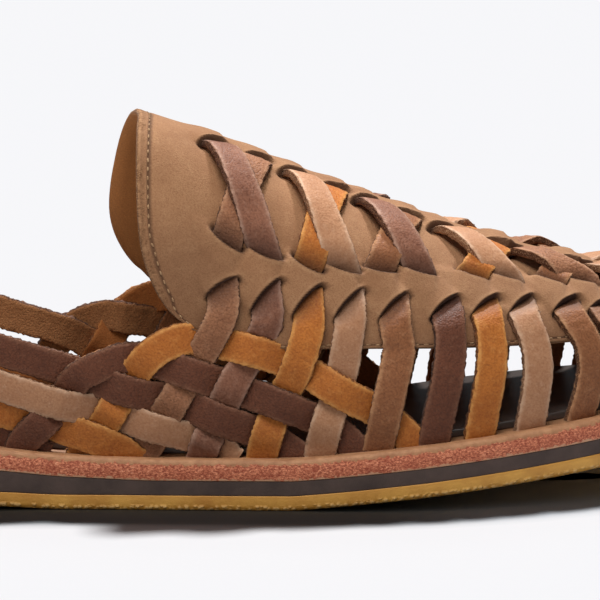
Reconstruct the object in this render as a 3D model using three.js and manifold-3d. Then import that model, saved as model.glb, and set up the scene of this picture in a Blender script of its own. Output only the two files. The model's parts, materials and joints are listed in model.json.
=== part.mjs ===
// Woven leather huarache, right shoe, toe towards +X, lateral side towards -Y, standing on Z = 0.
import * as THREE from "three";
import { mergeVertices } from "three/addons/utils/BufferGeometryUtils.js";
import Module from "manifold-3d";

const wasm = await Module();
wasm.setup();

// Driving sizes in millimetres
const SOLE_LENGTH = 262;
const BALL_WIDTH = 86;
const HEEL_WIDTH = 62;
const INSTEP_HEIGHT = 80;
const TOE_SPRING = 11.5;
const ARCH_HEIGHT = 0.9;
const OUTSOLE_THICKNESS = 3.6;
const MIDSOLE_THICKNESS = 3.3;
const HEEL_WEDGE = 5.6;
const BOARD_THICKNESS = 4.8;
const INSOLE_THICKNESS = 1.6;
const LEATHER_THICKNESS = 2.0;
const STRAP_WIDTH = 7.6;
const HEEL_SEAT = 30;
const EDGE_BEVEL = 0.9;
const BOARD_EDGE_ROUND = 1.1;

// Clearances between pieces and from the board's edge in millimetres
const SEAT_GAP = 0.3;
const STRAP_INSET = 4.0;
const INSOLE_INSET = 8.4;
const TRIM_MARGIN = 12;
const TRIM_DEPTH = 30;

// How finely the surfaces are divided
const OUTLINE_STEPS = 52;
const VAMP_LENGTH_STEPS = 16;
const VAMP_GIRTH_STEPS = 8;
const HALF = Math.PI / 2;
const NUDGE = 0.002;

// Half widths at stations from heel to toe, as shares of the width there
const OUTLINE = [
  { station: 0.0, lateral: 0.0, medial: 0.0 },
  { station: 0.03, lateral: 0.306, medial: 0.306 },
  { station: 0.08, lateral: 0.444, medial: 0.444 },
  { station: 0.16, lateral: 0.5, medial: 0.5 },
  { station: 0.25, lateral: 0.5, medial: 0.485 },
  { station: 0.35, lateral: 0.471, medial: 0.413 },
  { station: 0.45, lateral: 0.472, medial: 0.375 },
  { station: 0.55, lateral: 0.481, medial: 0.392 },
  { station: 0.63, lateral: 0.5, medial: 0.453 },
  { station: 0.7, lateral: 0.5, medial: 0.5 },
  { station: 0.78, lateral: 0.453, medial: 0.517 },
  { station: 0.86, lateral: 0.36, medial: 0.494 },
  { station: 0.93, lateral: 0.215, medial: 0.419 },
  { station: 0.975, lateral: 0.052, medial: 0.314 },
  { station: 1.0, lateral: -0.14, medial: 0.14 },
];

// Stations between which a form of the sole sets in, how far past its end it goes on, and its curve
const SOLE_FORMS = [
  { form: "widening", from: 0.2, to: 0.62, upTo: 1, curve: 1 },
  { form: "toe lift", from: 0.56, to: 1.0, upTo: 1.05, curve: 1.08 },
  { form: "arch", from: 0.2, to: 0.36, upTo: 1, curve: 1 },
  { form: "wedge", from: 0.43, to: 0.03, upTo: 1, curve: 1.15 },
  { form: "spine bend", from: 0.5, to: 1.0, upTo: 1, curve: 1 },
];

// Ends of the middle line of a sole layer, from which its rings of points spread out
const SPINE = [
  { station: 0.09, aside: 0.0 },
  { station: 0.92, aside: 0.06 },
];

// Ridge of the last: rise above the board as a share of the instep height, sideways place as a
// share of the ball width, and how square the section over it is
const RIDGE = [
  { station: 0.115, rise: 1.083, aside: 0.0, squareness: 3.0 },
  { station: 0.229, rise: 1.096, aside: 0.0, squareness: 2.95 },
  { station: 0.366, rise: 1.051, aside: -0.014, squareness: 2.8 },
  { station: 0.435, rise: 1.0, aside: -0.017, squareness: 2.7 },
  { station: 0.492, rise: 0.934, aside: -0.014, squareness: 2.6 },
  { station: 0.538, rise: 0.875, aside: -0.01, squareness: 2.5 },
  { station: 0.576, rise: 0.818, aside: -0.007, squareness: 2.42 },
  { station: 0.622, rise: 0.744, aside: -0.002, squareness: 2.35 },
  { station: 0.679, rise: 0.656, aside: 0.011, squareness: 2.27 },
  { station: 0.737, rise: 0.565, aside: 0.028, squareness: 2.22 },
  { station: 0.794, rise: 0.486, aside: 0.045, squareness: 2.2 },
  { station: 0.847, rise: 0.42, aside: 0.06, squareness: 2.2 },
  { station: 0.893, rise: 0.359, aside: 0.07, squareness: 2.2 },
];

// Station of the ridge point over which each station of the outline leans
const LEAN = [
  { station: 0.0, over: 0.12 },
  { station: 0.08, over: 0.145 },
  { station: 0.2, over: 0.22 },
  { station: 0.3, over: 0.3 },
  { station: 0.4, over: 0.4 },
  { station: 0.55, over: 0.55 },
  { station: 0.7, over: 0.7 },
  { station: 0.8, over: 0.795 },
  { station: 0.88, over: 0.855 },
  { station: 0.95, over: 0.885 },
  { station: 1.0, over: 0.892 },
];

// Hem and lower slit row as rises above the board, and the two upper slit rows as wraps,
// from 0 at the board to 1 on the ridge
const VAMP_ROWS = [
  { station: 0.44, hem: 0.42, lower: 0.54, middle: 0.46, upper: 0.9 },
  { station: 0.47, hem: 0.38, lower: 0.53, middle: 0.45, upper: 0.9 },
  { station: 0.51, hem: 0.335, lower: 0.5, middle: 0.44, upper: 0.9 },
  { station: 0.58, hem: 0.32, lower: 0.46, middle: 0.45, upper: 0.91 },
  { station: 0.65, hem: 0.3, lower: 0.42, middle: 0.51, upper: 0.9 },
  { station: 0.72, hem: 0.275, lower: 0.388, middle: 0.58, upper: 0.89 },
  { station: 0.79, hem: 0.25, lower: 0.355, middle: 0.64, upper: 0.88 },
  { station: 0.86, hem: 0.225, lower: 0.315, middle: 0.69, upper: 0.87 },
  { station: 0.93, hem: 0.19, lower: 0.265, middle: 0.72, upper: 0.87 },
  { station: 1.0, hem: 0.15, lower: 0.215, middle: 0.74, upper: 0.87 },
];

// Collar edge from the hem, share 0, to the ridge, share 1: its station on either side
const COLLAR = [
  { share: 0.0, lateral: 0.47, medial: 0.47 },
  { share: 0.04, lateral: 0.448, medial: 0.45 },
  { share: 0.1, lateral: 0.434, medial: 0.4275 },
  { share: 0.17, lateral: 0.426, medial: 0.4155 },
  { share: 0.26, lateral: 0.4225, medial: 0.4125 },
  { share: 0.46, lateral: 0.423, medial: 0.418 },
  { share: 0.75, lateral: 0.428, medial: 0.4275 },
  { share: 1.0, lateral: 0.434, medial: 0.434 },
];

// Lifts of a strap's middle from the vamp's outer face, as shares of the leather's thickness
const OVER_VAMP = 0.42;
const CROSSING = 1.32;
const IN_WALL = -0.7;
const WEAVE_OVER = 0.0;
const WEAVE_UNDER = -0.9;
const HALF_UNDER = -0.3;
const AT_FOOT = -0.5;
const ROOTED = -0.75;

// A foot knot's rise below the board, a side strap's bow along the sole, and where the heel bends
const FOOT_RISE = -0.05;
const SIDE_BOW = 0.011;
const HEEL_CUP_FROM = 0.23;

// Knots of a crossing strap, as shares of the way from its middle slit to its upper slit
const CROSSING_KNOTS = [
  { share: -0.06, lift: IN_WALL },
  { share: 0.1, lift: OVER_VAMP },
  { share: 0.5, lift: CROSSING },
  { share: 0.88, lift: OVER_VAMP },
  { share: 1.06, lift: IN_WALL },
];

// Knots of a side strap at its slit, as wraps from the slit, and below the hem: share of the way
// to the foot, share of the hem's wrap, and lift
const SLIT_KNOTS = [
  { wrap: 0.01, lift: IN_WALL },
  { wrap: -0.04, lift: OVER_VAMP },
];
const BELOW_HEM = [
  { way: 0.2, hem: 0.9, lift: WEAVE_OVER },
  { way: 0.6, hem: 0.5, lift: HALF_UNDER },
];

// Knots of the strap over the middle of the toe, as wraps
const TOE_KNOTS = [
  { wrap: 0.9, lift: IN_WALL },
  { wrap: 0.87, lift: OVER_VAMP },
  { wrap: 0.79, lift: OVER_VAMP },
  { wrap: 0.74, lift: IN_WALL },
];

// Straps laced through the vamp, from heel to toe: stations of foot and of the three slit rows,
// and which strap of each crossing pair lies on top
const LACED = [
  { name: "s1", foot: 0.424, lower: 0.498, middle: 0.504, upper: 0.542, onTop: false },
  { name: "s2", foot: 0.478, lower: 0.538, middle: 0.54, upper: 0.5, onTop: true },
  { name: "s3", foot: 0.532, lower: 0.576, middle: 0.578, upper: 0.614, onTop: false },
  { name: "s4", foot: 0.585, lower: 0.615, middle: 0.612, upper: 0.575, onTop: true },
  { name: "s5", foot: 0.639, lower: 0.657, middle: 0.647, upper: 0.683, onTop: false },
  { name: "s6", foot: 0.691, lower: 0.707, middle: 0.685, upper: 0.643, onTop: true },
  { name: "s7", foot: 0.737, lower: 0.747, middle: 0.738, upper: 0.771, onTop: false },
  { name: "s8", foot: 0.787, lower: 0.784, middle: 0.771, upper: 0.716, onTop: true },
  { name: "s9", foot: 0.839, lower: 0.831, middle: 0.817, upper: 0.846, onTop: false },
  { name: "s10", foot: 0.886, lower: 0.872, middle: 0.853, upper: 0.787, onTop: true },
  { name: "s11", foot: 0.93, lower: 0.918, middle: 0.905, upper: 0.935, onTop: false },
  { name: "s12", foot: 0.968, lower: 0.962, middle: 0.955, upper: 0.87, onTop: true },
];

// Knots of the laced straps where they are woven into the quarter, below the hem
const QUARTER_KNOTS = {
  s1: [
    { station: 0.488, rise: 0.36, lift: WEAVE_OVER },
    { station: 0.468, rise: 0.25, lift: WEAVE_UNDER },
    { station: 0.452, rise: 0.166, lift: WEAVE_OVER },
    { station: 0.437, rise: 0.084, lift: WEAVE_UNDER },
  ],
  s2: [
    { station: 0.525, rise: 0.325, lift: WEAVE_UNDER },
    { station: 0.505, rise: 0.21, lift: WEAVE_OVER },
    { station: 0.493, rise: 0.115, lift: WEAVE_UNDER },
    { station: 0.483, rise: 0.04, lift: WEAVE_OVER },
  ],
  s3: [
    { station: 0.565, rise: 0.274, lift: WEAVE_OVER },
    { station: 0.549, rise: 0.16, lift: WEAVE_UNDER },
    { station: 0.538, rise: 0.065, lift: WEAVE_OVER },
  ],
  s4: [
    { station: 0.602, rise: 0.195, lift: WEAVE_UNDER },
    { station: 0.591, rise: 0.09, lift: WEAVE_OVER },
  ],
  s5: [
    { station: 0.66, rise: 0.28, lift: HALF_UNDER },
    { station: 0.646, rise: 0.104, lift: WEAVE_OVER },
  ],
};

// Straps that turn over at the top of the quarter and run down towards the toe
const TURNED = {
  t1: [
    { station: 0.366, rise: 0.0, lift: AT_FOOT },
    { station: 0.381, rise: 0.052, lift: WEAVE_UNDER },
    { station: 0.395, rise: 0.126, lift: WEAVE_OVER },
    { station: 0.408, rise: 0.2, lift: WEAVE_UNDER },
    { station: 0.427, rise: 0.29, lift: WEAVE_OVER },
    { station: 0.445, rise: 0.335, lift: WEAVE_OVER },
    { station: 0.468, rise: 0.358, lift: AT_FOOT },
    { station: 0.488, rise: 0.348, lift: WEAVE_UNDER },
    { station: 0.525, rise: 0.324, lift: WEAVE_OVER },
    { station: 0.565, rise: 0.274, lift: WEAVE_UNDER },
    { station: 0.602, rise: 0.195, lift: WEAVE_OVER },
    { station: 0.646, rise: 0.104, lift: WEAVE_UNDER },
    { station: 0.68, rise: 0.0, lift: AT_FOOT },
  ],
  t2: [
    { station: 0.312, rise: 0.0, lift: AT_FOOT },
    { station: 0.335, rise: 0.084, lift: WEAVE_OVER },
    { station: 0.352, rise: 0.154, lift: WEAVE_UNDER },
    { station: 0.366, rise: 0.2125, lift: WEAVE_OVER },
    { station: 0.386, rise: 0.264, lift: WEAVE_OVER },
    { station: 0.409, rise: 0.292, lift: AT_FOOT },
    { station: 0.427, rise: 0.289, lift: WEAVE_UNDER },
    { station: 0.468, rise: 0.254, lift: WEAVE_OVER },
    { station: 0.505, rise: 0.211, lift: WEAVE_UNDER },
    { station: 0.549, rise: 0.16, lift: WEAVE_OVER },
    { station: 0.591, rise: 0.09, lift: WEAVE_UNDER },
    { station: 0.627, rise: 0.0, lift: AT_FOOT },
  ],
};

// Straps round the heel, from the foot at the waist to the middle of the back
const HEEL_STRAPS = {
  h1: [
    { station: 0.574, rise: 0.0, lift: AT_FOOT },
    { station: 0.538, rise: 0.065, lift: WEAVE_UNDER },
    { station: 0.493, rise: 0.115, lift: WEAVE_OVER },
    { station: 0.452, rise: 0.166, lift: WEAVE_UNDER },
    { station: 0.408, rise: 0.2, lift: WEAVE_OVER },
    { station: 0.366, rise: 0.2325, lift: WEAVE_UNDER },
    { station: 0.297, rise: 0.29, lift: AT_FOOT },
    { station: 0.22, rise: 0.35, lift: AT_FOOT },
    { station: 0.14, rise: 0.43, lift: WEAVE_OVER },
    { station: 0.04, rise: 0.5, lift: WEAVE_UNDER },
    { station: 0.0, rise: 0.51, lift: WEAVE_OVER },
  ],
  h2: [
    { station: 0.508, rise: 0.0, lift: AT_FOOT },
    { station: 0.483, rise: 0.04, lift: WEAVE_UNDER },
    { station: 0.437, rise: 0.084, lift: WEAVE_OVER },
    { station: 0.395, rise: 0.126, lift: WEAVE_UNDER },
    { station: 0.352, rise: 0.154, lift: WEAVE_OVER },
    { station: 0.297, rise: 0.188, lift: HALF_UNDER },
    { station: 0.22, rise: 0.245, lift: AT_FOOT },
    { station: 0.14, rise: 0.32, lift: WEAVE_UNDER },
    { station: 0.04, rise: 0.385, lift: WEAVE_OVER },
    { station: 0.0, rise: 0.395, lift: WEAVE_UNDER },
  ],
  h3: [
    { station: 0.422, rise: 0.0, lift: AT_FOOT },
    { station: 0.381, rise: 0.052, lift: WEAVE_OVER },
    { station: 0.335, rise: 0.084, lift: WEAVE_UNDER },
    { station: 0.297, rise: 0.108, lift: AT_FOOT },
    { station: 0.22, rise: 0.145, lift: AT_FOOT },
    { station: 0.14, rise: 0.205, lift: WEAVE_OVER },
    { station: 0.04, rise: 0.265, lift: WEAVE_UNDER },
    { station: 0.0, rise: 0.275, lift: WEAVE_OVER },
  ],
  h4: [
    { station: 0.34, rise: 0.0, lift: AT_FOOT },
    { station: 0.297, rise: 0.03, lift: WEAVE_UNDER },
    { station: 0.22, rise: 0.06, lift: AT_FOOT },
    { station: 0.14, rise: 0.1, lift: WEAVE_UNDER },
    { station: 0.04, rise: 0.145, lift: WEAVE_OVER },
    { station: 0.0, rise: 0.155, lift: WEAVE_UNDER },
  ],
};

// Short upright straps of the heel, a row for each, with the lift where each heel strap crosses
const UPRIGHTS = [
  { station: 0.0, top: 0.552, firstLift: WEAVE_UNDER, otherLift: WEAVE_OVER },
  { station: 0.04, top: 0.542, firstLift: WEAVE_OVER, otherLift: WEAVE_UNDER },
  { station: 0.14, top: 0.472, firstLift: WEAVE_UNDER, otherLift: WEAVE_OVER },
];

// Smooth cubic through the rows of a table, flat beyond its ends
function readTable(rows, key, column, at) {
  const last = rows.length - 1;
  const x = Math.min(Math.max(at, rows[0][key]), rows[last][key]);
  let k = 0;
  while (k < last - 1 && x >= rows[k + 1][key]) k += 1;
  const slope = (i) => {
    const before = rows[Math.max(i - 1, 0)];
    const after = rows[Math.min(i + 1, last)];
    return (after[column] - before[column]) / (after[key] - before[key]);
  };
  const span = rows[k + 1][key] - rows[k][key];
  const u = (x - rows[k][key]) / span;
  const w = 1 - u;
  return (1 + 2 * u) * w * w * rows[k][column] + u * w * w * span * slope(k)
    + u * u * (3 - 2 * u) * rows[k + 1][column] - u * u * w * span * slope(k + 1);
}

// How far a value has come from one end of a span to the other, held between two bounds
function shareOf(from, to, at, upTo) {
  return Math.min(Math.max((at - from) / (to - from), 0), upTo);
}

function eased(u) {
  return u * u * (3 - 2 * u);
}

// How far a form of the sole has set in at a station
function formAt(name, station) {
  const row = SOLE_FORMS.find(({ form }) => form === name);
  return shareOf(row.from, row.to, station, row.upTo) ** row.curve;
}

// A place round the shoe is an angle: 0 at the heel, PI at the toe, negative on the lateral side
function angleOf(station) {
  return Math.acos(Math.min(Math.max(1 - 2 * station, -1), 1));
}

function stationOf(angle) {
  return (1 - Math.cos(angle)) / 2;
}

const OUTLINE_BY_ANGLE = OUTLINE.map((row) => ({ ...row, angle: angleOf(row.station) }));

// The sole's outline from above; an angle past the toe comes back on the other side
function outlinePoint(angle) {
  const turned = Math.atan2(Math.sin(angle), Math.cos(angle));
  const station = stationOf(turned);
  const width = HEEL_WIDTH + (BALL_WIDTH - HEEL_WIDTH) * eased(formAt("widening", station));
  const side = turned < 0 ? "lateral" : "medial";
  const half = readTable(OUTLINE_BY_ANGLE, "angle", side, Math.abs(turned)) * width;
  return new THREE.Vector2(station * SOLE_LENGTH, turned < 0 ? -half : half);
}

// The outline moved inwards by an inset, outwards when it is negative
function insetPoint(angle, inset) {
  const before = outlinePoint(angle - NUDGE);
  const after = outlinePoint(angle + NUDGE);
  const along = after.sub(before).normalize();
  const middle = outlinePoint(angle);
  return new THREE.Vector2(middle.x + along.y * inset, middle.y - along.x * inset);
}

// Underside of the outsole: flat under heel and ball, a low arch, and the toe spring
function undersideZ(x) {
  const station = x / SOLE_LENGTH;
  const arch = Math.sin(Math.PI * formAt("arch", station)) ** 2;
  return TOE_SPRING * formAt("toe lift", station) + ARCH_HEIGHT * arch;
}

function midsoleThickness(x) {
  return MIDSOLE_THICKNESS + HEEL_WEDGE * formAt("wedge", x / SOLE_LENGTH);
}

const outsoleTopZ = (x) => undersideZ(x) + OUTSOLE_THICKNESS;
const midsoleBottomZ = (x) => outsoleTopZ(x) + SEAT_GAP;
const midsoleTopZ = (x) => midsoleBottomZ(x) + midsoleThickness(x);
const boardBottomZ = (x) => midsoleTopZ(x) + SEAT_GAP;
const boardTopZ = (x) => boardBottomZ(x) + BOARD_THICKNESS;
const insoleBottomZ = (x) => boardTopZ(x) + SEAT_GAP;
const insoleTopZ = (x) => insoleBottomZ(x) + INSOLE_THICKNESS;

// The last's section over one angle: a squared ellipse from the board's inset line to the ridge
function lastSection(angle) {
  const foot = insetPoint(angle, STRAP_INSET);
  const station = readTable(LEAN, "station", "over", stationOf(angle));
  const ridgeX = station * SOLE_LENGTH;
  const boardZ = boardTopZ(foot.x);
  return {
    foot,
    boardZ,
    ridge: new THREE.Vector2(ridgeX, readTable(RIDGE, "station", "aside", station) * BALL_WIDTH),
    height: boardTopZ(ridgeX) + readTable(RIDGE, "station", "rise", station) * INSTEP_HEIGHT - boardZ,
    power: 2 / readTable(RIDGE, "station", "squareness", station),
  };
}

// A point of the last: wrap 0 at the board, 1 on the ridge, beyond 1 on the other side
function lastPoint(angle, wrap) {
  const over = wrap > 1;
  const section = lastSection(over ? -angle : angle);
  const turn = (over ? 2 - wrap : wrap) * HALF;
  const out = Math.cos(turn) ** section.power;
  const up = Math.sign(turn) * Math.abs(Math.sin(turn)) ** section.power;
  return new THREE.Vector3(
    section.ridge.x + (section.foot.x - section.ridge.x) * out,
    section.ridge.y + (section.foot.y - section.ridge.y) * out,
    section.boardZ + section.height * up,
  );
}

function wrapAt(angle, rise) {
  const section = lastSection(angle);
  const up = Math.min(Math.max((rise * INSTEP_HEIGHT) / section.height, -1), 1);
  return Math.sign(up) * Math.asin(Math.abs(up) ** (1 / section.power)) / HALF;
}

function lastNormal(angle, wrap) {
  const round = lastPoint(angle + NUDGE, wrap).sub(lastPoint(angle - NUDGE, wrap));
  const upwards = lastPoint(angle, wrap + NUDGE).sub(lastPoint(angle, wrap - NUDGE));
  return upwards.cross(round).normalize();
}

// A closed body from points and triangles, turned so that its faces point out
function closedBody(points, triangles) {
  let volume = 0;
  for (const [a, b, c] of triangles) {
    volume += points[a].dot(points[b].clone().cross(points[c]));
  }
  const index = volume < 0 ? triangles.map(([a, b, c]) => [a, c, b]) : triangles;
  const geometry = new THREE.BufferGeometry();
  geometry.setAttribute("position", new THREE.Float32BufferAttribute(points.flatMap((p) => [...p]), 3));
  geometry.setIndex(index.flat());
  return dropSlivers(mergeVertices(geometry, 1e-3));
}

function dropSlivers(geometry) {
  const index = [...geometry.index.array];
  const kept = [];
  for (let i = 0; i < index.length; i += 3) {
    const [a, b, c] = index.slice(i, i + 3);
    if (a !== b && b !== c && c !== a) kept.push(a, b, c);
  }
  geometry.setIndex(kept);
  return geometry;
}

function toSolid(geometry) {
  const vertProperties = new Float32Array(geometry.attributes.position.array);
  const triVerts = new Uint32Array(geometry.index.array);
  return new wasm.Manifold(new wasm.Mesh({ numProp: 3, vertProperties, triVerts }));
}

// The solid's outer skin, without the pockets that crossing straps enclose between them
function toGeometry(solid) {
  const mesh = solid.getMesh();
  const owner = Array.from({ length: mesh.vertProperties.length / 3 }, (unused, i) => i);
  const find = (i) => {
    let root = i;
    while (owner[root] !== root) root = owner[root];
    owner[i] = root;
    return root;
  };
  for (let i = 0; i < mesh.triVerts.length; i += 3) {
    owner[find(mesh.triVerts[i + 1])] = find(mesh.triVerts[i]);
    owner[find(mesh.triVerts[i + 2])] = find(mesh.triVerts[i]);
  }
  const skins = new Map();
  for (let i = 0; i < mesh.triVerts.length; i += 3) {
    const root = find(mesh.triVerts[i]);
    if (!skins.has(root)) skins.set(root, []);
    skins.get(root).push(...mesh.triVerts.slice(i, i + 3));
  }
  const outerSkin = [...skins.values()].reduce((a, b) => (b.length > a.length ? b : a));
  const geometry = new THREE.BufferGeometry();
  geometry.setAttribute("position", new THREE.BufferAttribute(new Float32Array(mesh.vertProperties), 3));
  geometry.setIndex(outerSkin);
  return dropSlivers(mergeVertices(geometry, 1e-5));
}

// Triangles of a grid of points, rows joined to the next row, closed round when asked. Quads from
// one column on can be cut the other way, so that a top is cut as the underside that rests on it.
function gridTriangles(rows, columns, closedRows, closedColumns, turnedFrom = columns) {
  const triangles = [];
  for (let i = 0; i < (closedRows ? rows : rows - 1); i += 1) {
    for (let j = 0; j < (closedColumns ? columns : columns - 1); j += 1) {
      const a = i * columns + j;
      const b = ((i + 1) % rows) * columns + j;
      const c = ((i + 1) % rows) * columns + ((j + 1) % columns);
      const d = i * columns + ((j + 1) % columns);
      if (j < turnedFrom) triangles.push([a, b, c], [a, c, d]);
      else triangles.push([a, b, d], [b, c, d]);
    }
  }
  return triangles;
}

// A flat layer that follows the outline: rings from the middle line out, round the edge and back
function layer(inset, bottomZ, topZ, bottomBevel, topBevel) {
  const middle = (angle) => {
    const [heel, toe] = SPINE;
    const station = heel.station + (toe.station - heel.station) * stationOf(angle);
    const aside = toe.aside * BALL_WIDTH * eased(formAt("spine bend", station));
    return new THREE.Vector2(station * SOLE_LENGTH, aside);
  };
  const thickness = (x) => topZ(x) - bottomZ(x);
  const rings = [
    { spread: 0, inset: 0, up: () => 0 },
    { spread: 0.6, inset: 0, up: () => 0 },
    { spread: 1, inset: bottomBevel, up: () => 0 },
    { spread: 1, inset: 0, up: () => bottomBevel },
    { spread: 1, inset: 0, up: (x) => thickness(x) - topBevel },
    { spread: 1, inset: topBevel, up: thickness },
    { spread: 0.6, inset: 0, up: thickness },
    { spread: 0, inset: 0, up: thickness },
  ].filter((ring, i) => (i !== 3 || bottomBevel > 0) && (i !== 5 || topBevel > 0));
  const points = [];
  for (let k = 0; k < OUTLINE_STEPS; k += 1) {
    const angle = -Math.PI + (2 * Math.PI * k) / OUTLINE_STEPS;
    const spine = middle(angle);
    for (const ring of rings) {
      const edge = insetPoint(angle, inset + ring.inset);
      const at = spine.clone().lerp(edge, ring.spread);
      points.push(new THREE.Vector3(at.x, at.y, bottomZ(at.x) + ring.up(at.x)));
    }
  }
  const topFrom = rings.length - 3;
  return closedBody(points, gridTriangles(OUTLINE_STEPS, rings.length, true, false, topFrom));
}

// The vamp's wall: near half and far half as one strip that closes at the toe
function vampWall() {
  const columns = 2 * VAMP_GIRTH_STEPS + 1;
  const outer = [];
  const inner = [];
  for (let i = 0; i <= VAMP_LENGTH_STEPS; i += 1) {
    for (let j = 0; j < columns; j += 1) {
      const side = j <= VAMP_GIRTH_STEPS ? -1 : 1;
      const share = 1 - Math.abs(j / VAMP_GIRTH_STEPS - 1);
      const column = side < 0 ? "lateral" : "medial";
      const collar = angleOf(readTable(COLLAR, "share", column, share));
      const angle = side * (collar + (Math.PI - collar) * (i / VAMP_LENGTH_STEPS));
      const hem = wrapAt(angle, readTable(VAMP_ROWS, "station", "hem", stationOf(angle)));
      const wrap = hem + (1 - hem) * share;
      const point = lastPoint(angle, wrap);
      const normal = lastNormal(angle, wrap);
      outer.push(point);
      inner.push(point.clone().addScaledVector(normal, -LEATHER_THICKNESS));
    }
  }
  const count = outer.length;
  const skin = gridTriangles(VAMP_LENGTH_STEPS + 1, columns, false, false);
  const triangles = [...skin, ...skin.map(([a, b, c]) => [a + count, c + count, b + count])];
  const rim = [];
  for (let i = 0; i <= VAMP_LENGTH_STEPS; i += 1) rim.push(i * columns);
  for (let i = VAMP_LENGTH_STEPS; i >= 0; i -= 1) rim.push(i * columns + columns - 1);
  for (let j = columns - 2; j > 0; j -= 1) rim.push(j);
  rim.forEach((from, k) => {
    const to = rim[(k + 1) % rim.length];
    triangles.push([to, from, from + count], [to, from + count, to + count]);
  });
  return closedBody([...outer, ...inner], triangles);
}

// A strap of even width laid along knots on the last
function strap(knots) {
  const places = knots.map((knot) => lastPoint(knot.angle, knot.wrap));
  const points = knots.flatMap((knot, i) => {
    const normal = lastNormal(knot.angle, knot.wrap);
    const before = places[Math.max(i - 1, 0)];
    const after = places[Math.min(i + 1, places.length - 1)];
    const along = after.clone().sub(before);
    const across = along.cross(normal).normalize().multiplyScalar(STRAP_WIDTH / 2);
    const outer = (knot.lift + 0.5) * LEATHER_THICKNESS;
    const inner = (knot.rooted ? ROOTED : knot.lift - 0.5) * LEATHER_THICKNESS;
    const corner = (side, height) => places[i].clone().addScaledVector(across, side)
      .addScaledVector(normal, height);
    return [corner(-1, inner), corner(1, inner), corner(1, outer), corner(-1, outer)];
  });
  const last = points.length - 4;
  const ends = [[0, 1, 2], [0, 2, 3], [last, last + 2, last + 1], [last, last + 3, last + 2]];
  return closedBody(points, [...gridTriangles(knots.length, 4, false, true), ...ends]);
}

function risenKnot(side, { station, rise, lift }) {
  const angle = side * angleOf(station);
  return { angle, wrap: wrapAt(angle, rise), lift };
}

// Foot knots run a little below the board and are trimmed off it afterwards
function footKnot(side, station) {
  const angle = side * angleOf(station);
  return { angle, wrap: wrapAt(angle, FOOT_RISE), lift: AT_FOOT };
}

const rowAt = (column, station) => readTable(VAMP_ROWS, "station", column, station);

// The run of a laced strap that shows over the vamp, its ends rooted in the wall
function crossingStrap(side, row) {
  const upperWrap = rowAt("upper", row.upper);
  const middleWrap = rowAt("middle", row.middle);
  const knot = (share, lift) => ({
    angle: side * angleOf(row.middle + (row.upper - row.middle) * share),
    wrap: middleWrap + (upperWrap - middleWrap) * share,
    lift,
    rooted: true,
  });
  return strap(CROSSING_KNOTS.map(({ share, lift }) => {
    return knot(share, lift === CROSSING && !row.onTop ? OVER_VAMP : lift);
  }));
}

// The run of a laced strap from the lower slit down to the board, straight or woven
function sideStrap(side, row) {
  const wrapped = (station, wrap, lift, rooted) => ({ angle: side * angleOf(station), wrap, lift, rooted });
  const lowerWrap = wrapAt(side * angleOf(row.lower), rowAt("lower", row.lower));
  const hemWrap = wrapAt(side * angleOf(row.lower), rowAt("hem", row.lower));
  const top = SLIT_KNOTS.map(({ wrap, lift }) => wrapped(row.lower, lowerWrap + wrap, lift, true));
  const woven = QUARTER_KNOTS[row.name];
  if (woven) {
    return strap([...top, ...woven.map((knot) => risenKnot(side, knot)), footKnot(side, row.foot)]);
  }
  const lowered = (way) => row.lower + (row.foot - row.lower) * way + SIDE_BOW;
  const below = BELOW_HEM.map(({ way, hem, lift }) => wrapped(lowered(way), hemWrap * hem, lift));
  return strap([...top, ...below, footKnot(side, row.foot)]);
}

// The two runs of the strap over the middle of the toe
function toeStraps() {
  const knot = (wrap, lift, rooted) => ({ angle: Math.PI, wrap, lift, rooted });
  const hemWrap = wrapAt(Math.PI, rowAt("hem", 1));
  const lowerWrap = wrapAt(Math.PI, rowAt("lower", 1));
  const top = SLIT_KNOTS.map(({ wrap, lift }) => knot(lowerWrap + wrap, lift, true));
  const below = BELOW_HEM.map(({ hem, lift }) => knot(hemWrap * hem, lift, false));
  return [
    strap(TOE_KNOTS.map(({ wrap, lift }) => knot(wrap, lift, true))),
    strap([...top, ...below, footKnot(1, 1)]),
  ];
}

function turnedStrap(side, knots) {
  const inner = knots.slice(1, -1).map((knot) => risenKnot(side, knot));
  return strap([footKnot(side, knots[0].station), ...inner, footKnot(side, knots.at(-1).station)]);
}

// Knots halfway between those behind the waist, where the strap bends round the heel
function rounded(knots) {
  return knots.flatMap((knot, i) => {
    const before = knots[i - 1];
    if (!before || before.station > HEEL_CUP_FROM) return [knot];
    const middle = {
      station: stationOf((angleOf(before.station) + angleOf(knot.station)) / 2),
      rise: (before.rise + knot.rise) / 2,
      lift: (before.lift + knot.lift) / 2,
    };
    return [middle, knot];
  });
}

function heelStrap(knots) {
  const half = (side) => [
    footKnot(side, knots[0].station),
    ...rounded(knots).slice(1, -1).map((knot) => risenKnot(side, knot)),
  ];
  return strap([...half(-1), risenKnot(1, knots.at(-1)), ...half(1).reverse()]);
}

// An upright strap is woven through the heel straps and stands on the board
function uprightStrap(side, row) {
  const crossings = Object.values(HEEL_STRAPS).map((knots, k) => ({
    station: row.station,
    rise: readTable([...knots].reverse(), "station", "rise", row.station),
    lift: k % 2 === 0 ? row.firstLift : row.otherLift,
  }));
  const top = { station: row.station, rise: row.top, lift: row.firstLift };
  return strap([top, ...crossings].map((knot) => risenKnot(side, knot)).concat(footKnot(side, row.station)));
}

// Everything of the sole below the straps' feet, grown past the outline, to trim the feet with
function footTrim() {
  return toSolid(layer(-TRIM_MARGIN, () => -TRIM_DEPTH, (x) => boardTopZ(x) + SEAT_GAP, 0, 0));
}

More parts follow.
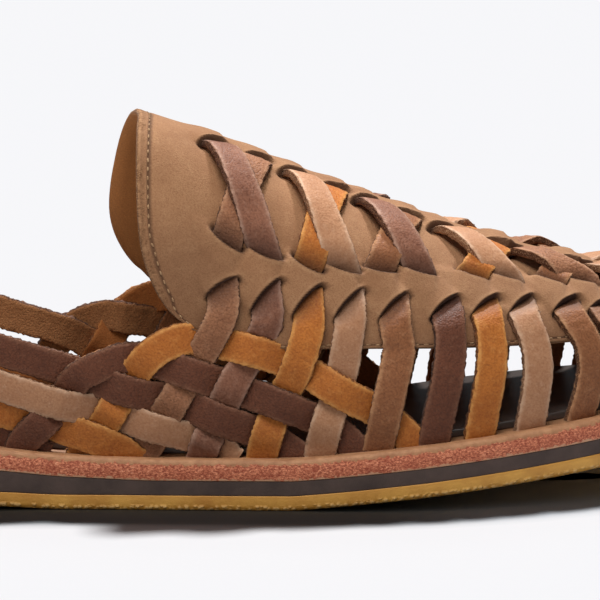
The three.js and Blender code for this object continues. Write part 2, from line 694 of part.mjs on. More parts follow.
function upper() {
  const straps = toeStraps();
  for (const side of [-1, 1]) {
    straps.push(...LACED.map((row) => crossingStrap(side, row)));
    straps.push(...LACED.map((row) => sideStrap(side, row)));
    straps.push(...Object.values(TURNED).map((knots) => turnedStrap(side, knots)));
  }
  straps.push(...Object.values(HEEL_STRAPS).map(heelStrap));
  UPRIGHTS.forEach((row) => {
    straps.push(uprightStrap(-1, row));
    if (row.station > 0) straps.push(uprightStrap(1, row));
  });
  const woven = straps.reduce((whole, piece) => whole.add(toSolid(piece)), toSolid(vampWall()));
  return toGeometry(woven.subtract(footTrim()));
}

function material(color, roughness) {
  return new THREE.MeshStandardMaterial({ color, roughness, metalness: 0 });
}

function named(name, geometry, finish) {
  const mesh = new THREE.Mesh(geometry, finish);
  mesh.name = name;
  return mesh;
}

const huarache = new THREE.Group();
huarache.position.set(-HEEL_SEAT, 0, 0);
huarache.add(
  named("outsole", layer(0, undersideZ, outsoleTopZ, EDGE_BEVEL, 0), material(0x9a6d36, 0.6)),
  named("midsole", layer(0, midsoleBottomZ, midsoleTopZ, 0, 0), material(0x362c29, 0.75)),
  named("footbed_board", layer(0, boardBottomZ, boardTopZ, 0, BOARD_EDGE_ROUND), material(0x965537, 0.7)),
  named("insole", layer(INSOLE_INSET, insoleBottomZ, insoleTopZ, 0, 0), material(0x463c39, 0.85)),
  named("upper", upper(), material(0xa07e5c, 0.65)),
);

export default huarache;
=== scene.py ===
"""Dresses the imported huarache: woven leather upper, layered sole, studio floor, lights and camera.

All tables are shares of the shoe's named sizes, and lengths are in millimetres until a mesh is made.
A place round the shoe is an angle, 0 at the heel and pi at the toe, negative on the lateral side.
A place up the last is a wrap, 0 on the board and 1 on the ridge, past 1 on the other side.
"""

from __future__ import annotations

import json
import logging
import math
from collections.abc import Callable
from dataclasses import dataclass, field
from enum import Enum

import bpy
import numpy as np
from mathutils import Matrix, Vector

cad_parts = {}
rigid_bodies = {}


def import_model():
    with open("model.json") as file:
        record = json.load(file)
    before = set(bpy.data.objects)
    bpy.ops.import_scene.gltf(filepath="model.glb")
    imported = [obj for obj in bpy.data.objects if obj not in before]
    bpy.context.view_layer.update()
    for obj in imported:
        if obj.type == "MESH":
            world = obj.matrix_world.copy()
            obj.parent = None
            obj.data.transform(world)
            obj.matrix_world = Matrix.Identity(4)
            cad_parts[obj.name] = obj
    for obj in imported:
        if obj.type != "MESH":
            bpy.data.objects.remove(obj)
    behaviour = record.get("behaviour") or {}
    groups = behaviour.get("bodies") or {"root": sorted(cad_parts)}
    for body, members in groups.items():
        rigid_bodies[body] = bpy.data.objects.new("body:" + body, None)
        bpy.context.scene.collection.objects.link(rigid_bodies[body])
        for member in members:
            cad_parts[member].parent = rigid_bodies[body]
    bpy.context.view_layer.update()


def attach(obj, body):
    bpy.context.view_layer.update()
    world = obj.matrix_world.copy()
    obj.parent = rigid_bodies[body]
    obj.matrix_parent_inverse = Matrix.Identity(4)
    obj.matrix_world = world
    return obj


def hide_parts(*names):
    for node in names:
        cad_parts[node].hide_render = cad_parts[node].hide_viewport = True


log = logging.getLogger("huarache")

Array = np.ndarray
HeightOf = Callable[[Array], Array]
MM = 0.001
HALF_TURN = math.pi / 2
NUDGE = 0.002
BODY = "root"


class Side(Enum):
    """The two sides of the shoe, with the sign of their angles."""

    LATERAL = -1
    MEDIAL = 1


class Leather(Enum):
    """The dyed leathers that the straps are cut from."""

    BROWN = "brown"
    MAUVE = "mauve"
    ORANGE = "orange"
    PINK = "pink"
    TAN = "tan"
    DARK = "dark"


def hermite(xs: Array, ys: Array, at: Array) -> Array:
    """Reads a smooth cubic through table rows, flat beyond the ends.

    Formula: between two rows the value is the cubic Hermite blend of both values and of both
    slopes, where a row's slope is that of the chord between its neighbours.

    Args:
        xs: rising places of the rows.
        ys: values of the rows.
        at: places to read, of any shape.

    Returns:
        The values at those places.
    """
    xs = np.asarray(xs, float)
    ys = np.asarray(ys, float)
    slopes = np.empty_like(ys)
    slopes[1:-1] = (ys[2:] - ys[:-2]) / (xs[2:] - xs[:-2])
    slopes[0] = (ys[1] - ys[0]) / (xs[1] - xs[0])
    slopes[-1] = (ys[-1] - ys[-2]) / (xs[-1] - xs[-2])
    x = np.clip(at, xs[0], xs[-1])
    k = np.clip(np.searchsorted(xs, x, side="right") - 1, 0, len(xs) - 2)
    span = xs[k + 1] - xs[k]
    u = (x - xs[k]) / span
    w = 1 - u
    near = (1 + 2 * u) * w * w * ys[k] + u * w * w * span * slopes[k]
    return near + u * u * (3 - 2 * u) * ys[k + 1] - u * u * w * span * slopes[k + 1]


def ease(low: float, high: float, at: Array) -> Array:
    """Smooth step of a value from 0 at low to 1 at high."""
    u = np.clip((np.asarray(at, float) - low) / (high - low), 0, 1)
    return u * u * (3 - 2 * u)


def bell(distance: Array, middle: float, width: float) -> Array:
    """A bell curve of a distance: 1 at the middle, and 1/e a width away from it."""
    return np.exp(-(((distance - middle) / width) ** 2))


def angle_of(station: Array) -> Array:
    """Angle round the shoe of a station, the arc cosine of 1 minus twice the station."""
    return np.arccos(np.clip(1 - 2 * np.asarray(station, float), -1, 1))


def station_of(angle: Array) -> Array:
    """Station of an angle, half of 1 minus its cosine."""
    return (1 - np.cos(angle)) / 2


def unit(vectors: Array) -> Array:
    """Vectors of length 1 along the last axis."""
    return vectors / np.maximum(np.linalg.norm(vectors, axis=-1, keepdims=True), 1e-12)


@dataclass(frozen=True)
class Last:
    """The last's form and the sole's outline, worked out from the shoe's named sizes."""

    sole_length: float = 262.0
    ball_width: float = 86.0
    heel_width: float = 62.0
    instep_height: float = 80.0
    toe_spring: float = 11.5
    arch_height: float = 0.9
    outsole_thickness: float = 3.6
    midsole_thickness: float = 3.3
    heel_wedge: float = 5.6
    board_thickness: float = 4.8
    seat_gap: float = 0.3
    strap_inset: float = 4.0
    heel_seat: float = 30.0
    leather: float = 2.0
    widening: tuple = (0.2, 0.62)
    toe_break: float = 0.56
    toe_span: float = 0.44
    toe_reach: float = 1.05
    toe_power: float = 1.08
    arch_start: float = 0.2
    arch_span: float = 0.16
    wedge_end: float = 0.43
    wedge_span: float = 0.4
    wedge_power: float = 1.15

    # station, lateral and medial half width as shares of the width there
    outline_rows: tuple = (
        (0.0, 0.0, 0.0), (0.03, 0.306, 0.306), (0.08, 0.444, 0.444), (0.16, 0.5, 0.5),
        (0.25, 0.5, 0.485), (0.35, 0.471, 0.413), (0.45, 0.472, 0.375), (0.55, 0.481, 0.392),
        (0.63, 0.5, 0.453), (0.7, 0.5, 0.5), (0.78, 0.453, 0.517), (0.86, 0.36, 0.494),
        (0.93, 0.215, 0.419), (0.975, 0.052, 0.314), (1.0, -0.14, 0.14),
    )
    # station, rise as a share of the instep height, place aside as a share of the ball width,
    # and how square the section is
    ridge_rows: tuple = (
        (0.115, 1.083, 0.0, 3.0), (0.229, 1.096, 0.0, 2.95), (0.366, 1.051, -0.014, 2.8),
        (0.435, 1.0, -0.017, 2.7), (0.492, 0.934, -0.014, 2.6), (0.538, 0.875, -0.01, 2.5),
        (0.576, 0.818, -0.007, 2.42), (0.622, 0.744, -0.002, 2.35), (0.679, 0.656, 0.011, 2.27),
        (0.737, 0.565, 0.028, 2.22), (0.794, 0.486, 0.045, 2.2), (0.847, 0.42, 0.06, 2.2),
        (0.893, 0.359, 0.07, 2.2),
    )
    # station of the outline, station of the ridge point that it leans over to
    lean_rows: tuple = (
        (0.0, 0.12), (0.08, 0.145), (0.2, 0.22), (0.3, 0.3), (0.4, 0.4), (0.55, 0.55), (0.7, 0.7),
        (0.8, 0.795), (0.88, 0.855), (0.95, 0.885), (1.0, 0.892),
    )

    def outline(self, angle: Array) -> Array:
        """The sole's outline from above.

        Formula: x is the station times the length; y is the table's share of the width there,
        which eases from the heel's to the ball's, with the sign of the angle.

        Args:
            angle: angles round the shoe, of any shape.

        Returns:
            Points in the plan, x and y along a new last axis.
        """
        turned = np.arctan2(np.sin(angle), np.cos(angle))
        station = station_of(turned)
        width = self.heel_width + (self.ball_width - self.heel_width) * ease(*self.widening, station)
        rows = np.array(self.outline_rows)
        places = angle_of(rows[:, 0])
        lateral = hermite(places, rows[:, 1], np.abs(turned))
        medial = hermite(places, rows[:, 2], np.abs(turned))
        y = np.where(turned < 0, -lateral, medial) * width
        return np.stack([station * self.sole_length, y], axis=-1)

    def inset_point(self, angle: Array, inset: Array) -> Array:
        """The outline moved inwards along its own normal.

        Args:
            angle: angles round the shoe.
            inset: how far inwards, of the same shape.

        Returns:
            Points in the plan.
        """
        along = unit(self.outline(angle + NUDGE) - self.outline(angle - NUDGE))
        normal = np.stack([along[..., 1], -along[..., 0]], axis=-1)
        return self.outline(angle) + normal * np.asarray(inset)[..., None]

    def underside(self, x: Array) -> Array:
        """Height of the outsole's underside.

        Formula: flat, plus the toe spring times a power of the way past the toe break, plus a
        low arch that is a squared sine.

        Args:
            x: places along the sole.

        Returns:
            Heights above the floor.
        """
        station = x / self.sole_length
        toe = np.clip((station - self.toe_break) / self.toe_span, 0, self.toe_reach)
        arch = np.clip((station - self.arch_start) / self.arch_span, 0, 1)
        return self.toe_spring * toe**self.toe_power + self.arch_height * np.sin(np.pi * arch) ** 2

    def outsole_top(self, x: Array) -> Array:
        """Height of the outsole's top."""
        return self.underside(x) + self.outsole_thickness

    def midsole_top(self, x: Array) -> Array:
        """Height of the midsole's top.

        Formula: an even layer, plus the heel wedge times a power of the way to the heel.

        Args:
            x: places along the sole.

        Returns:
            Heights above the floor.
        """
        wedge = np.clip((self.wedge_end - x / self.sole_length) / self.wedge_span, 0, 1)
        thickness = self.midsole_thickness + self.heel_wedge * wedge**self.wedge_power
        return self.outsole_top(x) + self.seat_gap + thickness

    def board_top(self, x: Array) -> Array:
        """Height of the leather board's top."""
        return self.midsole_top(x) + self.seat_gap + self.board_thickness

    def section(self, angle: Array) -> tuple[Array, Array, Array, Array, Array]:
        """The last's section over an angle, from the board up to the ridge.

        Args:
            angle: angles round the shoe.

        Returns:
            Foot points and ridge points in the plan, heights of the board at the foot, heights
            of the section, and powers of its squared ellipse.
        """
        foot = self.inset_point(angle, self.strap_inset)
        lean = np.array(self.lean_rows)
        ridge = np.array(self.ridge_rows)
        station = hermite(lean[:, 0], lean[:, 1], station_of(angle))
        ridge_x = station * self.sole_length
        aside = hermite(ridge[:, 0], ridge[:, 2], station) * self.ball_width
        board = self.board_top(foot[..., 0])
        rise = hermite(ridge[:, 0], ridge[:, 1], station) * self.instep_height
        height = self.board_top(ridge_x) + rise - board
        power = 2 / hermite(ridge[:, 0], ridge[:, 3], station)
        return foot, np.stack([ridge_x, aside], axis=-1), board, height, power

    def point(self, angle: Array, wrap: Array) -> Array:
        """A point of the last's outer face.

        Formula: a squared ellipse. The plan place runs from the foot point to the ridge point by
        the cosine of the wrap's quarter turn to the section's power, the height by its sine.

        Args:
            angle: angles round the shoe.
            wrap: wraps up the last, of the same shape.

        Returns:
            Points, x, y and z along a new last axis.
        """
        angle, wrap = np.broadcast_arrays(np.asarray(angle, float), np.asarray(wrap, float))
        over = wrap > 1
        foot, ridge, board, height, power = self.section(np.where(over, -angle, angle))
        turn = np.where(over, 2 - wrap, wrap) * HALF_TURN
        out = np.abs(np.cos(turn)) ** power
        up = np.sign(turn) * np.abs(np.sin(turn)) ** power
        plan = ridge + (foot - ridge) * out[..., None]
        return np.concatenate([plan, (board + height * up)[..., None]], axis=-1)

    def normal(self, angle: Array, wrap: Array) -> Array:
        """Outward normal of the last, from two small steps on its face.

        Args:
            angle: angles round the shoe.
            wrap: wraps up the last.

        Returns:
            Vectors of length 1.
        """
        round_ = self.point(angle + NUDGE, wrap) - self.point(angle - NUDGE, wrap)
        upwards = self.point(angle, wrap + NUDGE) - self.point(angle, wrap - NUDGE)
        return unit(np.cross(upwards, round_))

    def wrap_at(self, angle: Array, rise: Array) -> Array:
        """The wrap whose height above the board is a share of the instep height.

        Args:
            angle: angles round the shoe.
            rise: the shares.

        Returns:
            The wraps.
        """
        _, _, _, height, power = self.section(np.asarray(angle, float))
        up = np.clip(np.asarray(rise, float) * self.instep_height / height, -1, 1)
        return np.sign(up) * np.arcsin(np.abs(up) ** (1 / power)) / HALF_TURN


@dataclass(frozen=True)
class VampRows:
    """Rows of the vamp's hem and slits, and its collar edge."""

    # station, hem and lower slit as rises, middle and upper slit as wraps
    rows: tuple = (
        (0.44, 0.42, 0.54, 0.46, 0.9), (0.47, 0.38, 0.53, 0.45, 0.9), (0.51, 0.335, 0.5, 0.44, 0.9),
        (0.58, 0.32, 0.46, 0.45, 0.91), (0.65, 0.3, 0.42, 0.51, 0.9), (0.72, 0.275, 0.388, 0.58, 0.89),
        (0.79, 0.25, 0.355, 0.64, 0.88), (0.86, 0.225, 0.315, 0.69, 0.87),
        (0.93, 0.19, 0.265, 0.72, 0.87), (1.0, 0.15, 0.215, 0.74, 0.87),
    )
    # share up from the hem, station of the collar edge on the lateral and on the medial side
    collar: tuple = (
        (0.0, 0.47, 0.47), (0.04, 0.448, 0.45), (0.1, 0.434, 0.4275), (0.17, 0.426, 0.4155),
        (0.26, 0.4225, 0.4125), (0.46, 0.423, 0.418), (0.75, 0.428, 0.4275), (1.0, 0.434, 0.434),
    )

    def read(self, column: int, station: Array) -> Array:
        """Reads column 1 hem, 2 lower, 3 middle or 4 upper at a station."""
        rows = np.array(self.rows)
        return hermite(rows[:, 0], rows[:, column], station)

    def collar_station(self, share: Array, side: Array) -> Array:
        """Station of the collar edge.

        Args:
            share: shares of the way from hem to ridge.
            side: signs of the side, negative on the lateral one.

        Returns:
            The stations.
        """
        rows = np.array(self.collar)
        lateral, medial = (hermite(rows[:, 0], rows[:, column], share) for column in (1, 2))
        return np.where(side < 0, lateral, medial)


@dataclass
class MeshData:
    """Arrays of one mesh under construction, in millimetres."""

    points: Array
    quads: Array
    marks: dict[str, Array] = field(default_factory=dict)
    ends: list[list[int]] = field(default_factory=list)


def grid_quads(rows: int, columns: int, closed_rows: bool = False, closed_columns: bool = False) -> Array:
    """Quads between neighbours on a grid of points.

    Args:
        rows: points along the first parameter.
        columns: points along the second parameter.
        closed_rows: whether the last row joins the first.
        closed_columns: whether the last column joins the first.

    Returns:
        Point numbers, four to a quad.
    """
    i = np.arange(rows if closed_rows else rows - 1)[:, None]
    j = np.arange(columns if closed_columns else columns - 1)[None, :]
    a = i * columns + j
    b = ((i + 1) % rows) * columns + j
    c = ((i + 1) % rows) * columns + (j + 1) % columns
    d = i * columns + (j + 1) % columns
    return np.stack([a, b, c, d], axis=-1).reshape(-1, 4)


def make_piece(name: str, data: MeshData, heel_seat: float, smooth: bool = True) -> bpy.types.Object:
    """Makes a Blender object of mesh arrays, moved to the part's origin and turned into metres.

    Args:
        name: name of the piece.
        data: points, faces and marks in millimetres, from the heel's back edge.
        heel_seat: distance from the heel's back edge to the part's origin.
        smooth: whether the faces are shaded smooth.

    Returns:
        The linked object.
    """
    points = (data.points - np.array([heel_seat, 0.0, 0.0])) * MM
    mesh = bpy.data.meshes.new(name)
    mesh.from_pydata(points.tolist(), [], data.quads.tolist() + data.ends)
    mesh.validate()
    for mark, values in data.marks.items():
        layer = mesh.attributes.new(mark, "FLOAT", "POINT")
        layer.data.foreach_set("value", np.ascontiguousarray(values, dtype=np.float32))
    mesh.polygons.foreach_set("use_smooth", [smooth] * len(mesh.polygons))
    mesh.update()
    piece = bpy.data.objects.new(name, mesh)
    bpy.context.scene.collection.objects.link(piece)
    turn_outwards(mesh)
    return piece


def turn_outwards(mesh: bpy.types.Mesh) -> None:
    """Turns a closed mesh's faces out when its signed volume is negative.

    Args:
        mesh: the mesh to look at.
    """
    points = np.empty(len(mesh.vertices) * 3)
    mesh.vertices.foreach_get("co", points)
    points = points.reshape(-1, 3)
    mesh.calc_loop_triangles()
    corners = np.empty(len(mesh.loop_triangles) * 3, dtype=np.int32)
    mesh.loop_triangles.foreach_get("vertices", corners)
    a, b, c = (points[corners.reshape(-1, 3)[:, k]] for k in range(3))
    if np.einsum("ij,ij->i", a, np.cross(b, c)).sum() < 0:
        mesh.flip_normals()


@dataclass
class Knots:
    """Knots of one strap: where it runs, how far it is lifted in leathers, how much painted shade it takes,
    and how it slants.
    """

    angle: Array
    wrap: Array
    lift: Array
    shade: Array
    skew: Array


@dataclass(frozen=True)
class StrapCut:
    """How a strap is cut: its width, its section and how its edges vary."""

    width: float = 7.6
    thickness: float = 2.0
    corner: float = 0.28
    crown: float = 0.2
    waviness: float = 0.2
    fray: float = 0.14
    step: float = 0.58
    face_points: int = 9
    face_power: float = 0.8
    edge_width: float = 1.3
    # amounts and wavelengths of its sideways shift, its roll, its swell and its two edges' waves
    shift: float = 0.3
    shift_length: float = 16.0
    roll: float = 0.06
    roll_length: float = 20.0
    swell: float = 0.07
    swell_length: float = 7.0
    wave_lengths: tuple = (11.0, 8.0)

    def profile(self) -> tuple[Array, Array, Array, Array, Array]:
        """Section of the strap, once round from the top's left corner.

        Formula: a rectangle whose corners are quarter circles and whose top and bottom rise by a
        parabola of the crown.

        Returns:
            Places across, heights, nearness to the edge from 0 to 1, 1 on the cut sides, and 1
            on the underside.
        """
        half = self.width / 2
        bend = np.linspace(-1, 1, self.face_points)
        flat = np.sign(bend) * np.abs(bend) ** self.face_power * (half - self.corner)
        arc = np.linspace(0, HALF_TURN, 4)[1:-1]
        top = self.thickness / 2
        across = [flat, half - self.corner + self.corner * np.sin(arc), [half, half, half]]
        height = [np.full_like(flat, top), top - self.corner + self.corner * np.cos(arc),
                  [top - self.corner, 0.0, -top + self.corner]]
        across = np.concatenate(across)
        height = np.concatenate(height)
        under = np.concatenate([np.zeros(len(across)), np.ones(len(across))])
        across = np.concatenate([across, -across])
        height = np.concatenate([height, -height])
        crown = self.crown * (1 - (across / half) ** 2)
        edge = ease(half - self.edge_width, half, np.abs(across))
        cut = (np.abs(height) <= top - 0.9 * self.corner) * 1.0
        return across, height + crown, edge, cut, under * (1 - cut)


@dataclass(frozen=True)
class Slit:
    """One slit of the vamp: its middle, its line, the way to its raised lip, the normal, and how strong its
    painted shade is.
    """

    centre: Array
    along: Array
    to_lip: Array
    normal: Array
    half: float
    tone: float

    def skew(self, path: Array) -> float:
        """How far ahead of the path the slit's line runs, a millimetre to the side.

        Args:
            path: direction of the strap.

        Returns:
            The slit's slope against the strap.
        """
        path = unit(path)
        side = unit(np.cross(path, self.normal))
        return -float(self.along @ path) / float(self.along @ side)


@dataclass
class SlitPlan:
    """Places and lines of all slits, which the vamp and the straps share."""

    last: Last
    rows: VampRows
    upper_wrap: float = -0.005
    far_upper_wrap: float = -0.03
    half_width: float = 3.8
    overrun: float = 0.8
    slant_share: float = 0.8
    toe_station: float = 0.9
    toe_turn: float = 1.001
    # strength of the painted shade at the lower, middle and upper slit
    slit_shades: tuple = (1.0, 1.0, 0.72)

    def place(self, side: Side, row: LacedRow, which: int) -> tuple[float, float]:
        """Place of one of a row's slits.

        Args:
            side: side of the shoe.
            row: the laced strap's row.
            which: 0 for the lower slit, 1 for the middle one, 2 for the upper one.

        Returns:
            Its angle and its wrap.
        """
        station = (row.lower, row.middle, row.upper)[which]
        angle = side.value * float(angle_of(station))
        if which == 0:
            return angle, float(self.last.wrap_at(angle, self.rows.read(2, station)))
        if which == 1:
            return angle, float(self.rows.read(3, station))
        step = self.upper_wrap if side is Side.LATERAL else self.far_upper_wrap
        return angle, float(self.rows.read(4, station)) + step

    def slit(self, side: Side, row: LacedRow, which: int) -> Slit:
        """The slit itself.

        Formula: its line leans from the level direction on the last's face towards the ridge by
        the row's slant; the lip lies above it, or below it for the middle slit.

        Args:
            side: side of the shoe.
            row: the laced strap's row.
            which: 0 for the lower slit, 1 for the middle one, 2 for the upper one.

        Returns:
            The slit.
        """
        angle, wrap = self.place(side, row, which)
        centre = self.last.point(np.array(angle), np.array(wrap))
        normal = self.last.normal(np.array(angle), np.array(wrap))
        level = np.array([1.0, 0.0, 0.0])
        if row.lower > self.toe_station:
            level = unit(self.last.point(np.array(angle * self.toe_turn), np.array(wrap)) - centre)
        ahead = unit(level - normal * float(level @ normal))
        upwards = unit(np.cross(normal, ahead))
        if upwards[2] < 0:
            upwards = -upwards
        slant = row.slants[which]
        to_lip = unit(upwards - ahead * slant)
        to_lip = -to_lip if which == 1 else to_lip
        half = self.half_width * math.sqrt(1 + self.slant_share * slant**2) + self.overrun
        return Slit(centre, unit(ahead + upwards * slant), to_lip, normal, half, self.slit_shades[which])


def ribbon(last: Last, knots: Knots, cut: StrapCut, seed: int) -> MeshData:
    """A strap of even width laid along knots on the last.

    Formula: angle, wrap and lift are smooth cubics of the distance along the knots. At each step
    the section stands across the path, on the last's normal. The lift is read a little ahead or
    behind across the strap, by the skew, so that the strap dives along the line of its slit.

    Args:
        last: the last that it lies on.
        knots: where it runs.
        cut: how it is cut.
        seed: seed of its small waviness.

    Returns:
        The closed strap, with marks edge, cut, flesh, shade, along and across.
    """
    places = last.point(knots.angle, knots.wrap)
    hops = np.linalg.norm(np.diff(places, axis=0), axis=1)
    distance = np.concatenate([[0], np.cumsum(np.maximum(hops, 0.4))])
    steps = max(int(distance[-1] / cut.step), 8)
    at = np.linspace(0, distance[-1], steps)
    angle = hermite(distance, knots.angle, at)
    wrap = hermite(distance, knots.wrap, at)
    across, height, edge, cut_mark, under = cut.profile()
    skewed = at[:, None] + np.interp(at, distance, knots.skew)[:, None] * across[None, :]
    lift = hermite(distance, knots.lift, skewed) * last.leather
    shade = np.interp(skewed, distance, knots.shade)
    base = last.point(angle, wrap)
    normal = last.normal(angle, wrap)
    along = unit(np.gradient(base, axis=0))
    side = unit(np.cross(along, normal))
    random = np.random.default_rng(seed)
    sign = np.sign(across)[None, :]
    left, right = (smooth_noise(random, at, length)[:, None] for length in cut.wave_lengths)
    wave = np.where(sign > 0, left, right)
    fray = random.normal(0.0, 1.0, (steps, len(across))) * cut.fray * edge[None, :] ** 2
    width_share = 1 + wave * cut.waviness * edge[None, :] * sign / (cut.width / 2)
    shift = smooth_noise(random, at, cut.shift_length)[:, None] * cut.shift
    roll = smooth_noise(random, at, cut.roll_length)[:, None] * cut.roll
    swell = smooth_noise(random, at, cut.swell_length)[:, None] * cut.swell * (1 - edge[None, :])
    sideways = across[None, :] * width_share + shift + fray
    rise = lift + height[None, :] + roll * across[None, :] + swell + fray[:, ::-1] * 0.5
    points = (base[:, None, :] + side[:, None, :] * sideways[..., None]
              + normal[:, None, :] * rise[..., None])
    columns = len(across)
    full = np.ones((steps, columns))
    marks = {
        "edge": (full * edge[None, :]).ravel(),
        "cut": (full * cut_mark[None, :]).ravel(),
        "flesh": (full * under[None, :]).ravel(),
        "shade": shade.ravel(),
        "along": (full * at[:, None]).ravel() * MM,
        "across": (full * across[None, :]).ravel() * MM,
    }
    first = list(range(columns))
    last_row = [(steps - 1) * columns + k for k in range(columns)][::-1]
    quads = grid_quads(steps, columns, closed_columns=True)[:, ::-1]
    return MeshData(points.reshape(-1, 3), quads, marks, [first, last_row])


def smooth_noise(random: np.random.Generator, at: Array, wavelength: float) -> Array:
    """A smooth random curve between about minus 1 and 1 along a distance.

    Args:
        random: seeded source of numbers.
        at: rising distances.
        wavelength: distance between its random values.

    Returns:
        Its value at each distance.
    """
    count = int(at[-1] / wavelength) + 4
    values = random.uniform(-1, 1, count)
    return hermite(np.arange(count) * wavelength - wavelength, values, at)


# lifts of a strap's middle from the last's face, in leathers
OVER_VAMP = 0.1
CROSSING = 1.15
CROSSED = 0.02
UNDER_VAMP = -1.5
DIVING = UNDER_VAMP + 0.35
IN_SLIT = -0.72
NEAR_SLIT = {Side.LATERAL: 0.34, Side.MEDIAL: -0.2}
LOW_ON_VAMP = 0.42
OVER = 0.24
UNDER = -1.06
AT_FOOT = -0.5
INSIDE = -1.62
INSIDE_TOP = -1.58
TURNING_IN = -1.15
TURNING_OUT = 0.25
OUTSIDE_TOP = 0.62


@dataclass(frozen=True)
class LacedRow:
    """Stations of one laced strap's foot and slits, its leather, and how its slits slant."""

    name: str
    foot: float
    lower: float
    middle: float
    upper: float
    on_top: bool
    leather: Leather
    slants: tuple
    side_leather: Leather | None = None
    bow: float = 1.0


